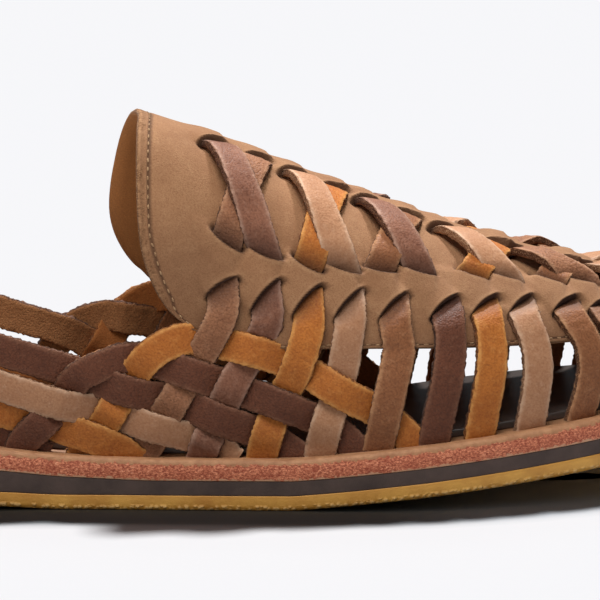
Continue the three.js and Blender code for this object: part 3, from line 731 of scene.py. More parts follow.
@dataclass
class StrapSet:
    """All the straps of the upper: laced, turned over, round the heel and upright."""

    last: Last
    rows: VampRows
    plan: SlitPlan
    cut: StrapCut = StrapCut()
    side_bow: float = 0.007
    belly: float = -0.005
    upper_turn: float = 0.45
    upper_shift: float = 0.003
    foot_depth: float = 0.012
    medial_rise: float = 0.037
    hidden_knot: int = 8
    first_seed: int = 11
    # how an upright turns over the top heel strap, as rises
    turn_gap: float = 0.004
    turn_height: float = 0.012
    upright_overlap: float = 0.01
    # stations over which the top heel strap and the scallops rise on the medial side
    top_front: tuple = (0.425, 0.37)
    top_back: tuple = (0.05, 0.16)
    scallop_back: tuple = (0.34, 0.385)
    scallop_front: tuple = (0.51, 0.46)
    scallop_share: float = 0.8
    seams: dict = field(default_factory=dict)

    laced: tuple = (
        LacedRow("s1", 0.424, 0.498, 0.504, 0.542, False, Leather.BROWN, (0.6, -0.8, 0.55)),
        LacedRow("s2", 0.478, 0.538, 0.54, 0.5, True, Leather.MAUVE, (1.1, -0.42, 0.7)),
        LacedRow("s3", 0.532, 0.576, 0.578, 0.614, False, Leather.ORANGE, (1.05, -0.6, 0.55)),
        LacedRow("s4", 0.585, 0.615, 0.612, 0.575, True, Leather.PINK, (1.05, -0.33, 0.65)),
        LacedRow("s5", 0.639, 0.657, 0.647, 0.683, False, Leather.TAN, (0.95, -0.15, 0.2), bow=0.8),
        LacedRow("s6", 0.691, 0.707, 0.685, 0.643, True, Leather.MAUVE, (0.88, -0.2, 0.7), Leather.DARK),
        LacedRow("s7", 0.737, 0.747, 0.738, 0.771, False, Leather.ORANGE, (0.9, -0.2, 0.0), bow=0.85),
        LacedRow("s8", 0.787, 0.784, 0.771, 0.716, True, Leather.PINK, (1.0, -0.12, 0.7), bow=1.3),
        LacedRow("s9", 0.839, 0.831, 0.817, 0.846, False, Leather.TAN, (0.9, -0.25, 0.1), bow=1.9),
        LacedRow("s10", 0.886, 0.872, 0.853, 0.787, True, Leather.BROWN, (0.7, 0.0, 0.7), bow=1.5),
        LacedRow("s11", 0.93, 0.918, 0.905, 0.935, False, Leather.ORANGE, (0.4, 0.0, 0.2), bow=0.5),
        LacedRow("s12", 0.968, 0.962, 0.955, 0.87, True, Leather.PINK, (0.2, 0.0, 0.6), bow=0.3),
    )
    # station, rise and lift of the knots below the hem
    quarter: dict = field(default_factory=lambda: {
        "s1": ((0.488, 0.36, OVER), (0.468, 0.25, UNDER), (0.452, 0.166, OVER), (0.437, 0.084, UNDER)),
        "s2": ((0.525, 0.325, UNDER), (0.505, 0.21, OVER), (0.493, 0.115, UNDER), (0.483, 0.04, OVER)),
        "s3": ((0.565, 0.274, OVER), (0.549, 0.16, UNDER), (0.538, 0.065, OVER)),
        "s4": ((0.602, 0.195, UNDER), (0.591, 0.09, OVER)),
        "s5": ((0.66, 0.28, -0.1), (0.646, 0.104, OVER)),
    })
    turned: dict = field(default_factory=lambda: {
        "t1": (Leather.ORANGE, (
            (0.366, -0.02, AT_FOOT), (0.381, 0.052, UNDER), (0.395, 0.126, OVER), (0.408, 0.2, UNDER),
            (0.427, 0.29, OVER), (0.445, 0.335, OVER), (0.468, 0.358, AT_FOOT), (0.488, 0.348, UNDER),
            (0.525, 0.324, OVER), (0.565, 0.274, UNDER), (0.602, 0.195, OVER), (0.646, 0.104, UNDER),
            (0.68, -0.02, AT_FOOT))),
        "t2": (Leather.DARK, (
            (0.312, -0.02, AT_FOOT), (0.335, 0.084, OVER), (0.352, 0.146, UNDER - 0.2), (0.366, 0.224, OVER),
            (0.386, 0.264, OVER), (0.409, 0.292, AT_FOOT), (0.427, 0.289, UNDER), (0.468, 0.254, OVER),
            (0.505, 0.211, UNDER), (0.549, 0.16, OVER), (0.591, 0.09, UNDER), (0.627, -0.02, AT_FOOT))),
    })
    heel: dict = field(default_factory=lambda: {
        "h1": (Leather.DARK, (
            (0.574, -0.02, AT_FOOT), (0.538, 0.065, UNDER), (0.493, 0.115, OVER), (0.452, 0.166, UNDER),
            (0.408, 0.2, OVER), (0.366, 0.239, UNDER), (0.297, 0.29, AT_FOOT), (0.22, 0.35, AT_FOOT),
            (0.14, 0.43, AT_FOOT), (0.085, 0.468, AT_FOOT), (0.04, 0.5, AT_FOOT), (0.01, 0.508, AT_FOOT),
            (0.0, 0.51, AT_FOOT))),
        "h2": (Leather.PINK, (
            (0.508, -0.02, AT_FOOT), (0.483, 0.04, UNDER), (0.437, 0.084, OVER), (0.395, 0.126, UNDER),
            (0.352, 0.147, OVER), (0.297, 0.184, -0.2), (0.22, 0.245, AT_FOOT), (0.14, 0.32, UNDER),
            (0.085, 0.355, AT_FOOT), (0.04, 0.385, OVER), (0.01, 0.393, AT_FOOT), (0.0, 0.395, UNDER))),
        "h3": (Leather.ORANGE, (
            (0.422, -0.02, AT_FOOT), (0.381, 0.052, OVER), (0.335, 0.084, UNDER), (0.297, 0.108, AT_FOOT),
            (0.22, 0.145, AT_FOOT), (0.14, 0.205, OVER), (0.085, 0.238, AT_FOOT), (0.04, 0.265, UNDER),
            (0.01, 0.273, AT_FOOT), (0.0, 0.275, OVER))),
        "h4": (Leather.DARK, (
            (0.34, -0.02, AT_FOOT), (0.297, 0.03, UNDER), (0.22, 0.06, AT_FOOT), (0.14, 0.1, UNDER),
            (0.085, 0.124, AT_FOOT), (0.04, 0.145, OVER), (0.01, 0.153, AT_FOOT), (0.0, 0.155, UNDER))),
    })
    # station, lift at the first heel strap, lift at the next, leather
    uprights: tuple = (
        (0.0, UNDER, OVER, Leather.TAN),
        (0.04, OVER, UNDER, Leather.ORANGE),
        (0.14, UNDER, OVER, Leather.DARK),
    )

    def risen(self, side: Side, row: tuple) -> tuple:
        """Knot of a station, a rise and a lift."""
        angle = side.value * float(angle_of(row[0]))
        return angle, float(self.last.wrap_at(angle, row[1])), row[2], 0.0, 0.0

    def knots(self, rows: list[tuple]) -> Knots:
        """Knots of a list of angle, wrap, lift, shade and skew."""
        return Knots(*np.array(rows, float).T)

    def laced_knots(self, side: Side, row: LacedRow) -> Knots:
        """Knots of a laced strap, from under the ridge to the board.

        Args:
            side: which side of the shoe.
            row: the strap's row.

        Returns:
            Its knots.
        """
        places = [self.plan.place(side, row, which) for which in range(3)]
        slits = [self.plan.slit(side, row, which) for which in range(3)]
        (_, lower_wrap), (_, middle_wrap), (_, upper_wrap) = places
        lower_angle = places[0][0]
        hem_wrap = float(self.last.wrap_at(lower_angle, self.rows.read(1, row.lower)))
        over_path = slits[1].centre - slits[2].centre
        lower_skew = slits[0].skew(np.array([0.0, 0.0, -1.0]) + slits[0].normal * slits[0].normal[2])

        def wrapped(station: float, wrap: float, lift: float, shade: float = 0.0, skew: float = 0.0) -> tuple:
            """A knot given by station and wrap."""
            return side.value * float(angle_of(station)), wrap, lift, shade, skew

        def across(share: float, lift: float, shade: float = 0.0, skew: float = 0.0) -> tuple:
            """A knot on the run between the middle and the upper slit.

            Args:
                share: share of the run, from the middle slit.
                lift: its lift in leathers.
                shade: how much painted shade it takes there, from 0 to 1.
                skew: how far the strap's line slants.

            Returns:
                The knot.
            """
            belly = self.belly * math.sin(math.pi * min(max(share, 0.0), 1.0)) if row.on_top else 0.0
            shift = self.upper_shift * share if row.on_top else 0.0
            station = row.middle + (row.upper - row.middle) * share + belly + shift
            return wrapped(station, middle_wrap + (upper_wrap - middle_wrap) * share, lift, shade, skew)

        crossing = CROSSING if row.on_top else CROSSED
        near_slit = OVER_VAMP + (NEAR_SLIT[side] if row.on_top else 0.0)
        upper_skew = slits[2].skew(over_path) * self.upper_turn
        middle_skew = slits[1].skew(over_path)
        top = [
            across((0.998 - middle_wrap) / (upper_wrap - middle_wrap), UNDER_VAMP, 0.6, upper_skew),
            across(1.09, DIVING, 1.0, upper_skew),
            across(1.012, IN_SLIT, 0.75, upper_skew),
            across(0.86, near_slit, 0.0, upper_skew * 0.6),
            across(0.5, crossing),
            across(0.19, near_slit, 0.0, middle_skew * 0.7),
            across(0.0, IN_SLIT, 0.75, middle_skew),
            across(-0.09, DIVING, 1.0, middle_skew),
            wrapped((row.lower + row.middle) / 2, (middle_wrap + lower_wrap) / 2, UNDER_VAMP, 0.6),
            wrapped(row.lower, lower_wrap + 0.045, UNDER_VAMP + 0.3, 1.0, lower_skew),
            wrapped(row.lower, lower_wrap + 0.008, IN_SLIT, 0.75, lower_skew),
            wrapped(row.lower, lower_wrap - 0.062, LOW_ON_VAMP, 0.0, lower_skew * 0.6),
        ]
        foot = self.risen(side, (row.foot, -self.foot_depth, AT_FOOT))
        woven = self.quarter.get(row.name)
        if woven:
            return self.knots(top + [self.risen(side, knot) for knot in woven] + [foot])

        def down(share: float, bow: float) -> float:
            """Station on the way from the lower slit to the foot."""
            return row.lower + (row.foot - row.lower) * share + self.side_bow * row.bow * bow

        side_run = [
            wrapped(down(0.3, 0.9), hem_wrap * 0.94, 0.45),
            wrapped(down(0.53, 1.0), hem_wrap * 0.62, 0.22),
            wrapped(down(0.78, 0.6), hem_wrap * 0.29, -0.1),
        ]
        return self.knots(top + side_run + [foot])

    def toe_knots(self) -> Knots:
        """Knots of the strap over the middle of the toe.

        Returns:
            Its knots, from under the ridge to the board.
        """
        hem = float(self.last.wrap_at(math.pi, self.rows.read(1, 1.0)))
        lower = float(self.last.wrap_at(math.pi, self.rows.read(2, 1.0)))
        rows = [(0.97, UNDER_VAMP, 0), (0.9, IN_SLIT, 1), (0.86, OVER_VAMP, 0), (0.79, OVER_VAMP, 0),
                (0.74, IN_SLIT, 1), ((0.74 + lower) / 2, UNDER_VAMP, 0), (lower + 0.02, IN_SLIT, 1),
                (lower - 0.04, LOW_ON_VAMP, 0), (hem * 0.95, 0.4, 0), (hem * 0.6, 0.0, 0),
                (hem * 0.3, -0.3, 0), (-0.03, AT_FOOT, 0)]
        return self.knots([(math.pi, wrap, lift, shade, 0.0) for wrap, lift, shade in rows])

    def raised(self, name: str, station: Array) -> Array:
        """Extra rise of the topmost straps on the medial side.

        Args:
            name: the strap's name.
            station: stations along it.

        Returns:
            Rises to add there.
        """
        if name == "h1":
            return self.medial_rise * ease(*self.top_front, station) * ease(*self.top_back, station)
        if name in self.turned:
            rise = self.scallop_share * self.medial_rise
            return rise * ease(*self.scallop_back, station) * ease(*self.scallop_front, station)
        return np.zeros_like(station)

    def heel_knots(self, name: str, rows: tuple) -> Knots:
        """Knots of a heel strap, from one foot round the back to the other.

        Args:
            name: the strap's name.
            rows: station, rise and lift of its knots on one side.

        Returns:
            Its knots.
        """
        near = [self.risen(Side.LATERAL, row) for row in rows]
        far = [self.risen(Side.MEDIAL, (row[0], row[1] + float(self.raised(name, row[0])), row[2]))
               for row in rows]
        return self.knots(near[:-1] + far[::-1])

    def upright_knots(self, side: Side, row: tuple) -> Knots:
        """Knots of an upright strap of the heel.

        Formula: it comes up inside, turns over the top heel strap and runs down outside, woven
        through the others.

        Args:
            side: side of the shoe.
            row: its station, two lifts and leather.

        Returns:
            Its knots.
        """
        station, first, other, _ = row
        rises = []
        for name, (_, strap_rows) in self.heel.items():
            table = np.array(strap_rows)[::-1]
            rise = float(hermite(table[:, 0], table[:, 1], np.array(station)))
            rises.append(rise + (float(self.raised(name, station)) if side is Side.MEDIAL else 0.0))
        over_top = rises[0] + 0.5 * self.cut.width / self.last.instep_height + self.turn_gap
        run = [(rises[1] - self.upright_overlap, INSIDE), (rises[0], INSIDE_TOP), (over_top, TURNING_IN),
               (over_top + self.turn_height, AT_FOOT), (over_top - self.turn_gap, TURNING_OUT),
               (rises[0], OUTSIDE_TOP)]
        run += [(rise, first if k % 2 == 0 else other) for k, rise in enumerate(rises[1:])]
        run.append((-self.foot_depth, AT_FOOT))
        return self.knots([self.risen(side, (station, rise, lift)) for rise, lift in run])

    def seam(self, knots: Knots) -> float:
        """Distance along a laced strap, in metres, to its hidden run, where two pieces are joined."""
        places = self.last.point(knots.angle, knots.wrap)[:self.hidden_knot + 1]
        return float(np.linalg.norm(np.diff(places, axis=0), axis=1).sum()) * MM

    def build(self) -> list[tuple[str, Leather, MeshData]]:
        """All the straps.

        Returns:
            Name, leather and mesh of each.
        """
        made = []
        seed = self.first_seed
        for side in Side:
            tag = side.name.lower()
            for row in self.laced:
                seed += 1
                knots = self.laced_knots(side, row)
                made.append((f"strap_{row.name}_{tag}", row.leather,
                             ribbon(self.last, knots, self.cut, seed)))
                if row.side_leather:
                    self.seams[made[-1][0]] = (row.side_leather, self.seam(knots))
            for name, (leather, rows) in self.turned.items():
                seed += 1
                lift = 1.0 if side is Side.MEDIAL else 0.0
                knots = self.knots([self.risen(side, (at, rise + lift * float(self.raised(name, at)), up))
                                    for at, rise, up in rows])
                made.append((f"strap_{name}_{tag}", leather, ribbon(self.last, knots, self.cut, seed)))
            for row in self.uprights:
                seed += 1
                if row[0] == 0.0 and side is Side.LATERAL:
                    continue
                mesh = ribbon(self.last, self.upright_knots(side, row), self.cut, seed)
                made.append((f"upright_{int(row[0] * 100)}_{tag}", row[3], mesh))
        for name, (leather, rows) in self.heel.items():
            seed += 1
            mesh = ribbon(self.last, self.heel_knots(name, rows), self.cut, seed)
            made.append((f"heel_{name}", leather, mesh))
        made.append(("strap_toe", Leather.BROWN, ribbon(self.last, self.toe_knots(), self.cut, seed + 1)))
        return made


@dataclass
class Vamp:
    """The vamp: one piece of nubuck from the collar to the toe, lifted at its slits."""

    last: Last
    rows: VampRows
    straps: StrapSet
    plan: SlitPlan
    length_steps: int = 366
    inner_every: int = 6
    crowding: float = 0.12
    settling: int = 2
    lip_rise: float = 1.35
    lip_reach: float = 4.8
    slit_drop: float = 1.5
    slit_bow: float = 1.0
    panel_drop: float = 1.0
    ridge_rise: float = 0.5
    rim_round: float = 0.55
    rim_width: float = 0.9
    collar_stitch: float = 3.0
    hem_stitch: float = 2.1
    stitch_depth: float = 0.22
    groove_width: float = 0.55
    line_width: float = 0.44
    rough_height: float = 0.09
    layer_line: float = 1.35

    # where along the shoe the relief begins, and the bands of wrap that it fades over
    begins: tuple = (0.455, 0.5)
    panel_low: tuple = (0.0, 0.06)
    panel_high: tuple = (0.0, -0.07)
    ridge_band: tuple = (0.01, 0.08)
    # how near a slit acts, its ends, and the bands across it, in millimetres
    slit_window: float = 12.0
    slit_depth: float = 7.0
    slit_ends: tuple = (0.72, 1.12)
    slit_arch: tuple = (0.55, 0.1)
    step_band: tuple = (-0.3, 0.35)
    lip_end: tuple = (4.0, 9.0)
    drop_width: float = 2.6
    # bands across the slit of its painted shade, and of the painted highlight on its lip
    dark_high: tuple = (0.6, 0.35)
    dark_low: tuple = (-2.0, -1.1)
    highlight_low: tuple = (0.4, 0.7)
    highlight_high: tuple = (1.7, 0.9)
    # bands in from the rim, in millimetres, and how dark the painted shade is near the hem and in the
    # collar's corner
    strip_band: tuple = (2.3, 1.5)
    rough_band: tuple = (1.2, 0.0)
    edge_band: tuple = (0.3, 1.3)
    raw_band: tuple = (0.0, 0.55)
    fuzz_band: tuple = (0.45, 0.8)
    hem_band: tuple = (9.0, 2.0)
    corner_band: tuple = (30.0, 14.0)
    corner_height: tuple = (76.0, 58.0)
    hem_painted_shade: float = 0.2
    corner_painted_shade: float = 0.26
    # how dark the painted shade is on the line between the collar's two layers, and how much of the painted
    # shade reaches the inner face
    layer_dark: float = 0.3
    inner_dark: float = 0.2
    inner_rise: float = 0.2
    # strength of the painted highlight on the slit lips
    lip_highlight_share: float = 0.75
    strip_light: float = 0.7

    # share of the columns from hem to ridge, row that the wrap is read from, step from it
    columns: tuple = (
        (0.0, 1, 0.0), (0.07, 1, 0.03), (0.12, 2, -0.045), (0.36, 2, 0.05), (0.42, 3, -0.05),
        (0.64, 3, 0.055), (0.74, 4, -0.085), (0.97, 4, 0.06), (1.0, 0, 1.0),
    )
    half_columns: int = 124

    def slits(self) -> list[Slit]:
        """All slits of both sides."""
        return [self.plan.slit(side, row, which)
                for side in Side for row in self.straps.laced for which in range(3)]

    def relief(self, points: Array, wrap: Array, station: Array) -> tuple[Array, Array, Array]:
        """How far the face is lifted or sunk, its painted shade and its painted highlight on the lips.

        Formula: the panel between the middle and the upper slits is sunk, as it lies under the
        straps, and the ridge band stands up. Near each slit the lip side rises by a decaying
        curve whose height is a parabola along the slit, the other side drops by a bell curve,
        and a steep smooth step joins them. Painted shade lies on the step and in the drop, and a
        painted highlight lies on the lip just above the step.

        Args:
            points: points of the vamp's face.
            wrap: their wraps, past 1 folded back.
            station: their stations.

        Returns:
            Height to add along the normal, painted shade from 0 to 1, and painted lip highlight from 0 to 1.
        """
        middle = self.rows.read(3, station)
        upper = self.rows.read(4, station)
        panel = ease(*self.panel_low, wrap - middle) * ease(*self.panel_high, wrap - upper)
        ridge = ease(*self.ridge_band, wrap - upper)
        height = ease(*self.begins, station) * (self.ridge_rise * ridge - self.panel_drop * panel)
        shade = np.zeros(points.shape[:-1])
        lip_highlight = np.zeros(points.shape[:-1])
        flat_height, flat_shade, flat_lip_highlight = (values.reshape(-1) for values in (height, shade, lip_highlight))
        bend, least = self.slit_arch
        for slit in self.slits():
            offset = points - slit.centre
            near = np.flatnonzero((np.abs(offset) < self.slit_window).all(axis=-1))
            offset = offset.reshape(-1, 3)[near]
            reach = (offset @ slit.along) / slit.half
            v = offset @ slit.to_lip - self.slit_bow * (1 - reach**2)
            w = offset @ slit.normal
            fade = (1 - ease(*self.slit_ends, np.abs(reach))) * (np.abs(w) < self.slit_depth)
            arch = np.clip(1 - bend * reach**2, least, 1)
            step = ease(*self.step_band, v)
            lip = self.lip_rise * arch * step * np.exp(-np.maximum(v, 0) / self.lip_reach)
            drop = self.slit_drop * (1 - step) * np.exp(-(np.minimum(v, 0) / self.drop_width) ** 2)
            flat_height[near] += fade * (lip * (1 - ease(*self.lip_end, v)) - drop)
            dark = slit.tone * fade * ease(*self.dark_high, v) * ease(*self.dark_low, v)
            flat_shade[near] = np.maximum(flat_shade[near], dark)
            lit = fade * ease(*self.highlight_low, v) * ease(*self.highlight_high, v)
            flat_lip_highlight[near] = np.maximum(flat_lip_highlight[near], lit)
        return height, shade, lip_highlight

    def wraps(self, signed: Array, station: Array) -> Array:
        """Wraps of all columns at each row, closer together along the slit rows.

        Formula: a chain of straight runs between the places of the columns table, written as a
        sum of clipped ramps, so that rows and columns are worked out together.

        Args:
            signed: signed angles, rows by columns.
            station: their stations.

        Returns:
            The wraps.
        """
        half = self.half_columns
        share = 1 - np.abs(np.arange(2 * half + 1) / half - 1)
        rise = {1: self.last.wrap_at(signed, self.rows.read(1, station)),
                2: self.last.wrap_at(signed, self.rows.read(2, station)),
                3: self.rows.read(3, station), 4: self.rows.read(4, station),
                0: np.zeros_like(station)}
        table = [(at, rise[row] + step) for at, row, step in self.columns]
        wrap = table[0][1]
        for (start, low), (end, high) in zip(table[:-1], table[1:]):
            wrap = wrap + (high - low) * np.clip((share - start) / (end - start), 0, 1)[None, :]
        return wrap

    def face(self) -> tuple[Array, Array, Array]:
        """The vamp's undisplaced outer face.

        Formula: the angle runs from the collar edge to the toe, the wrap from the hem over the
        ridge to the other hem.

        Returns:
            Signed angles, wraps and stations, rows by columns.
        """
        half = self.half_columns
        j = np.arange(2 * half + 1)
        side = np.where(j <= half, -1.0, 1.0)
        t = np.linspace(0, 1, self.length_steps)[:, None]
        t = t - self.crowding * np.sin(np.pi * t) / np.pi
        first = angle_of(self.rows.collar_station(1 - np.abs(j / half - 1), side))
        for _ in range(self.settling):
            wrap = self.wraps(first[None, :] * side, station_of(first)[None, :])[0]
            hem = np.where(side < 0, wrap[0], wrap[-1])
            first = angle_of(self.rows.collar_station(np.clip((wrap - hem) / (1 - hem), 0, 1), side))
        angle = first[None, :] + (np.pi - first[None, :]) * t
        signed = angle * side[None, :]
        station = station_of(angle)
        return signed, self.wraps(signed, station), station

    def build(self) -> MeshData:
        """The vamp's wall as one closed skin.

        Formula: the outer face is moved along its normal by the relief. The inner face lies one
        leather thickness inside on a coarser grid, a rim of many-sided faces joins the two, and
        the two halves of the last row are one row, so that the toe is closed.

        Returns:
            The mesh with marks edge, cut, flesh and shade.
        """
        signed, wrap, station = self.face()
        count, columns = signed.shape
        face = self.last.point(signed, wrap)
        normal = self.last.normal(signed, wrap)
        height, shade, lip_highlight = self.relief(face, wrap, station)
        to_collar, to_hem = self.distances(face)
        rim = np.minimum(to_collar, to_hem)
        rim[0] = 0
        rim[:, [0, -1]] = 0
        round_off = self.rim_round * (1 - np.sqrt(1 - (1 - np.clip(rim / self.rim_width, 0, 1)) ** 2))
        lines = ((to_collar, self.collar_stitch), (to_hem, self.hem_stitch))
        stitched = sum(bell(distance, middle, self.groove_width) for distance, middle in lines)
        random = np.random.default_rng(5)
        strip = ease(*self.strip_band, to_collar)
        fuzz = random.random(rim.shape)
        rough = random.normal(0, self.rough_height, rim.shape)
        rough = rough * np.maximum(ease(*self.rough_band, rim), strip)
        # painted shade in the collar's lower corner, low on the vamp
        corner = ease(*self.corner_band, to_collar) * ease(*self.corner_height, face[..., 2])
        # painted shade along the stitch lines, on the line between the collar's two layers, near the hem and
        # in the collar's corner
        for dark in (*(bell(distance, middle, self.line_width) for distance, middle in lines),
                     self.layer_dark * bell(to_collar, self.layer_line, self.line_width),
                     self.hem_painted_shade * ease(*self.hem_band, to_hem), self.corner_painted_shade * corner):
            shade = np.maximum(shade, dark)
        outer = face + normal * (height - round_off - self.stitch_depth * stitched + rough)[..., None]
        rows_in = np.arange(0, count, self.inner_every)
        if rows_in[-1] != count - 1:
            rows_in = np.append(rows_in, count - 1)
        columns_in = np.arange(0, columns, self.inner_every // 3)
        sunk = np.minimum(height, self.inner_rise) - self.last.leather + round_off
        inner = (face + normal * sunk[..., None])[rows_in][:, columns_in]
        inner_points = inner.shape[0] * inner.shape[1]
        number_out = np.arange(count * columns).reshape(count, columns)
        number_in = count * columns + np.arange(inner_points).reshape(inner.shape[:2])
        for numbers in (number_out, number_in):
            half = (numbers.shape[1] - 1) // 2
            numbers[-1, half + 1:] = numbers[-1, :half][::-1]
        quads = np.concatenate([self.quads_of(number_out), self.quads_of(number_in)[:, ::-1]])
        ends = self.rim_faces(number_out, number_in, rows_in, columns_in)
        points = np.concatenate([outer.reshape(-1, 3), inner.reshape(-1, 3)])
        none = np.zeros(inner_points)
        # the rim's worn edge, and a painted highlight on the slit lips
        edge = np.maximum((1 - ease(*self.edge_band, rim)), self.lip_highlight_share * lip_highlight)
        fibres = self.strip_light * strip * ease(*self.fuzz_band, fuzz)
        raw = np.maximum(1 - ease(*self.raw_band, rim), fibres)
        # the inner face takes a little of the painted shade
        inner_shade = (shade * self.inner_dark)[rows_in][:, columns_in]
        marks = {
            "edge": np.concatenate([edge.ravel(), none]),
            "cut": np.concatenate([raw.ravel(), none]),
            "flesh": np.concatenate([np.zeros(count * columns), none + 1]),
            "shade": np.concatenate([shade.ravel(), inner_shade.ravel()]),
        }
        return compact(MeshData(points, quads, marks, ends))

    def distances(self, face: Array) -> tuple[Array, Array]:
        """How far each point of the face is from the collar and from its side's hem.

        Args:
            face: points of the face, rows by columns.

        Returns:
            Distances to the collar and to the hem.
        """
        lateral = np.arange(face.shape[1]) <= self.half_columns
        hem = np.where(lateral[None, :, None], face[:, :1], face[:, -1:])
        return np.linalg.norm(face - face[:1], axis=-1), np.linalg.norm(face - hem, axis=-1)

    def quads_of(self, numbers: Array) -> Array:
        """Quads between neighbours of a grid of point numbers.

        Args:
            numbers: the numbers, rows by columns.

        Returns:
            Point numbers, four to a quad.
        """
        a, b = numbers[:-1, :-1], numbers[1:, :-1]
        c, d = numbers[1:, 1:], numbers[:-1, 1:]
        return np.stack([a, b, c, d], axis=-1).reshape(-1, 4)

    def rim_faces(self, outer: Array, inner: Array, rows_in: Array, columns_in: Array) -> list[list[int]]:
        """Many-sided faces between the fine outer border and the coarse inner one.

        Args:
            outer: point numbers of the outer grid.
            inner: point numbers of the inner grid.
            rows_in: rows of the outer grid that the inner grid keeps.
            columns_in: columns of the outer grid that the inner grid keeps.

        Returns:
            One face for each step of the inner border.
        """
        faces = []
        for line, out_edge, in_edge, flip in (
                (rows_in, outer[:, 0], inner[:, 0], False),
                (columns_in, outer[0][::-1], inner[0][::-1], False),
                (rows_in, outer[:, -1], inner[:, -1], True)):
            for k in range(len(line) - 1):
                run = [int(n) for n in out_edge[line[k]:line[k + 1] + 1]]
                face = run + [int(in_edge[k + 1]), int(in_edge[k])]
                faces.append(face if flip else face[::-1])
        return faces


def compact(data: MeshData) -> MeshData:
    """Drops points that no face uses, and numbers the rest anew.

    Args:
        data: the mesh.

    Returns:
        The mesh without them.
    """
    used = np.zeros(len(data.points), bool)
    used[data.quads.ravel()] = True
    for end in data.ends:
        used[end] = True
    new_number = np.cumsum(used) - 1
    quads = new_number[data.quads]
    return MeshData(data.points[used], quads, {key: mark[used] for key, mark in data.marks.items()},
                    [[int(new_number[n]) for n in end] for end in data.ends])


@dataclass
class Stitching:
    """Rows of small stitches along the vamp's collar and hem."""

    vamp: Vamp
    pitch: float = 2.35
    length: float = 1.2
    radius: float = 0.24
    flatness: float = 0.8
    sunk: float = 0.12
    skipped_rows: int = 9
    sides: int = 8
    rings: int = 7

    def line(self, distance_from: str) -> tuple[Array, Array]:
        """Points and normals of a stitch line on the vamp's face.

        Formula: the collar line is the row of the face that lies at the stitch's distance from
        the collar; the hem lines are the columns at its distance from the hem.

        Args:
            distance_from: collar, lateral or medial.

        Returns:
            Points along the line and normals there.
        """
        signed, wrap, _ = self.vamp.face()
        face = self.vamp.last.point(signed, wrap)
        normal = self.vamp.last.normal(signed, wrap)
        if distance_from == "collar":
            away = np.linalg.norm(face - face[:1], axis=-1)
            row = np.argmin(np.abs(away - self.vamp.collar_stitch), axis=0)
            picked = np.arange(face.shape[1])
            low, high = (np.linalg.norm(face[0] - face[0, end], axis=-1) > self.vamp.hem_stitch
                         for end in (0, -1))
            keep = low & high
            return face[row, picked][keep], normal[row, picked][keep]
        column = 0 if distance_from == "lateral" else -1
        away = np.linalg.norm(face - face[:, column][:, None], axis=-1)
        half = self.vamp.half_columns
        part = away[:, :half] if column == 0 else away[:, half:]
        place = np.argmin(np.abs(part - self.vamp.hem_stitch), axis=1) + (0 if column == 0 else half)
        rows = np.arange(face.shape[0])
        keep = rows > self.skipped_rows
        return face[rows, place][keep], normal[rows, place][keep]

    def build(self, distance_from: str) -> MeshData:
        """One line of stitches as small capsules.

        Formula: the line is walked at an even pitch; each stitch is an ellipsoid stretched along
        the line and laid half into the leather.

        Args:
            distance_from: collar, lateral or medial.

        Returns:
            The mesh with marks edge, cut, flesh and shade.
        """
        points, normals = self.line(distance_from)
        walked = np.concatenate([[0], np.cumsum(np.linalg.norm(np.diff(points, axis=0), axis=1))])
        at = np.arange(self.pitch, walked[-1] - self.pitch, self.pitch)

        def read(values: Array, places: Array) -> Array:
            """Values along the line read at distances from its start."""
            return np.stack([np.interp(places, walked, values[:, k]) for k in range(3)], axis=-1)

        along = unit(read(points, at + 0.5) - read(points, at - 0.5))
        normal = unit(read(normals, at))
        side = np.cross(along, normal)
        turn = (np.linspace(0, 2 * np.pi, self.sides + 1)[:-1])[None, :]
        rise = np.linspace(-HALF_TURN, HALF_TURN, self.rings)[:, None]
        long_ = np.sin(rise) * np.ones_like(turn) * self.length / 2
        wide = np.cos(rise) * np.cos(turn) * self.radius
        high = np.cos(rise) * np.sin(turn) * self.radius * self.flatness - self.sunk
        shell = sum(amount.reshape(1, -1, 1) * way[:, None, :]
                    for amount, way in ((long_, along), (wide, side), (high, normal)))
        all_points = (read(points, at)[:, None, :] + shell).reshape(-1, 3)
        one = grid_quads(self.rings, self.sides, closed_columns=True)
        quads = (one[None] + (np.arange(len(at)) * self.rings * self.sides)[:, None, None]).reshape(-1, 4)
        none = np.zeros(len(all_points))
        return MeshData(all_points, quads, {"edge": none, "cut": none, "flesh": none, "shade": none})


@dataclass
class SoleLayer:
    """One layer of the sole: a plate that follows the outline, with a shaped edge."""

    last: Last
    inset: float = 0.0
    steps: int = 420
    spine_start: float = 0.09
    spine_span: float = 0.83
    spine_aside: float = 0.06
    edge_width: float = 2.5

    def build(self, profile: list[tuple[float, float, float]], floor: HeightOf, roof: HeightOf) -> MeshData:
        """The layer's mesh.

        Formula: rings of the outline, each spread from the middle line by a share, inset from
        the edge, and set between the layer's floor and roof by a share of the thickness.

        Args:
            profile: rows of spread, inset and share of the thickness, from the bottom's middle
                out, round the edge and back to the top's middle.
            floor: function of x for the bottom's height.
            roof: function of x for the top's height.

        Returns:
            The closed mesh with marks level and edge.
        """
        angle = -np.pi + 2 * np.pi * np.arange(self.steps) / self.steps
        station = self.spine_start + self.spine_span * station_of(angle)
        aside = self.spine_aside * self.last.ball_width * ease(0.5, 1, station)
        spine = np.stack([station * self.last.sole_length, aside], axis=-1)
        rings = []
        for spread, inset, share in profile:
            edge = self.last.inset_point(angle, np.full_like(angle, self.inset + inset))
            at = spine + (edge - spine) * spread
            low = floor(at[:, 0])
            high = roof(at[:, 0])
            rings.append(np.concatenate([at, (low + (high - low) * share)[:, None]], axis=-1))
        points = np.stack(rings, axis=1)
        columns = len(profile)
        level = np.array([share for _, _, share in profile])
        edge_mark = np.array([1 - ease(0.0, self.edge_width, inset) if spread == 1 else 0.0
                              for spread, inset, _ in profile])
        full = np.ones((self.steps, columns))
        marks = {"level": (full * level).ravel(), "edge": (full * edge_mark).ravel()}
        return MeshData(points.reshape(-1, 3), grid_quads(self.steps, columns, closed_rows=True), marks)


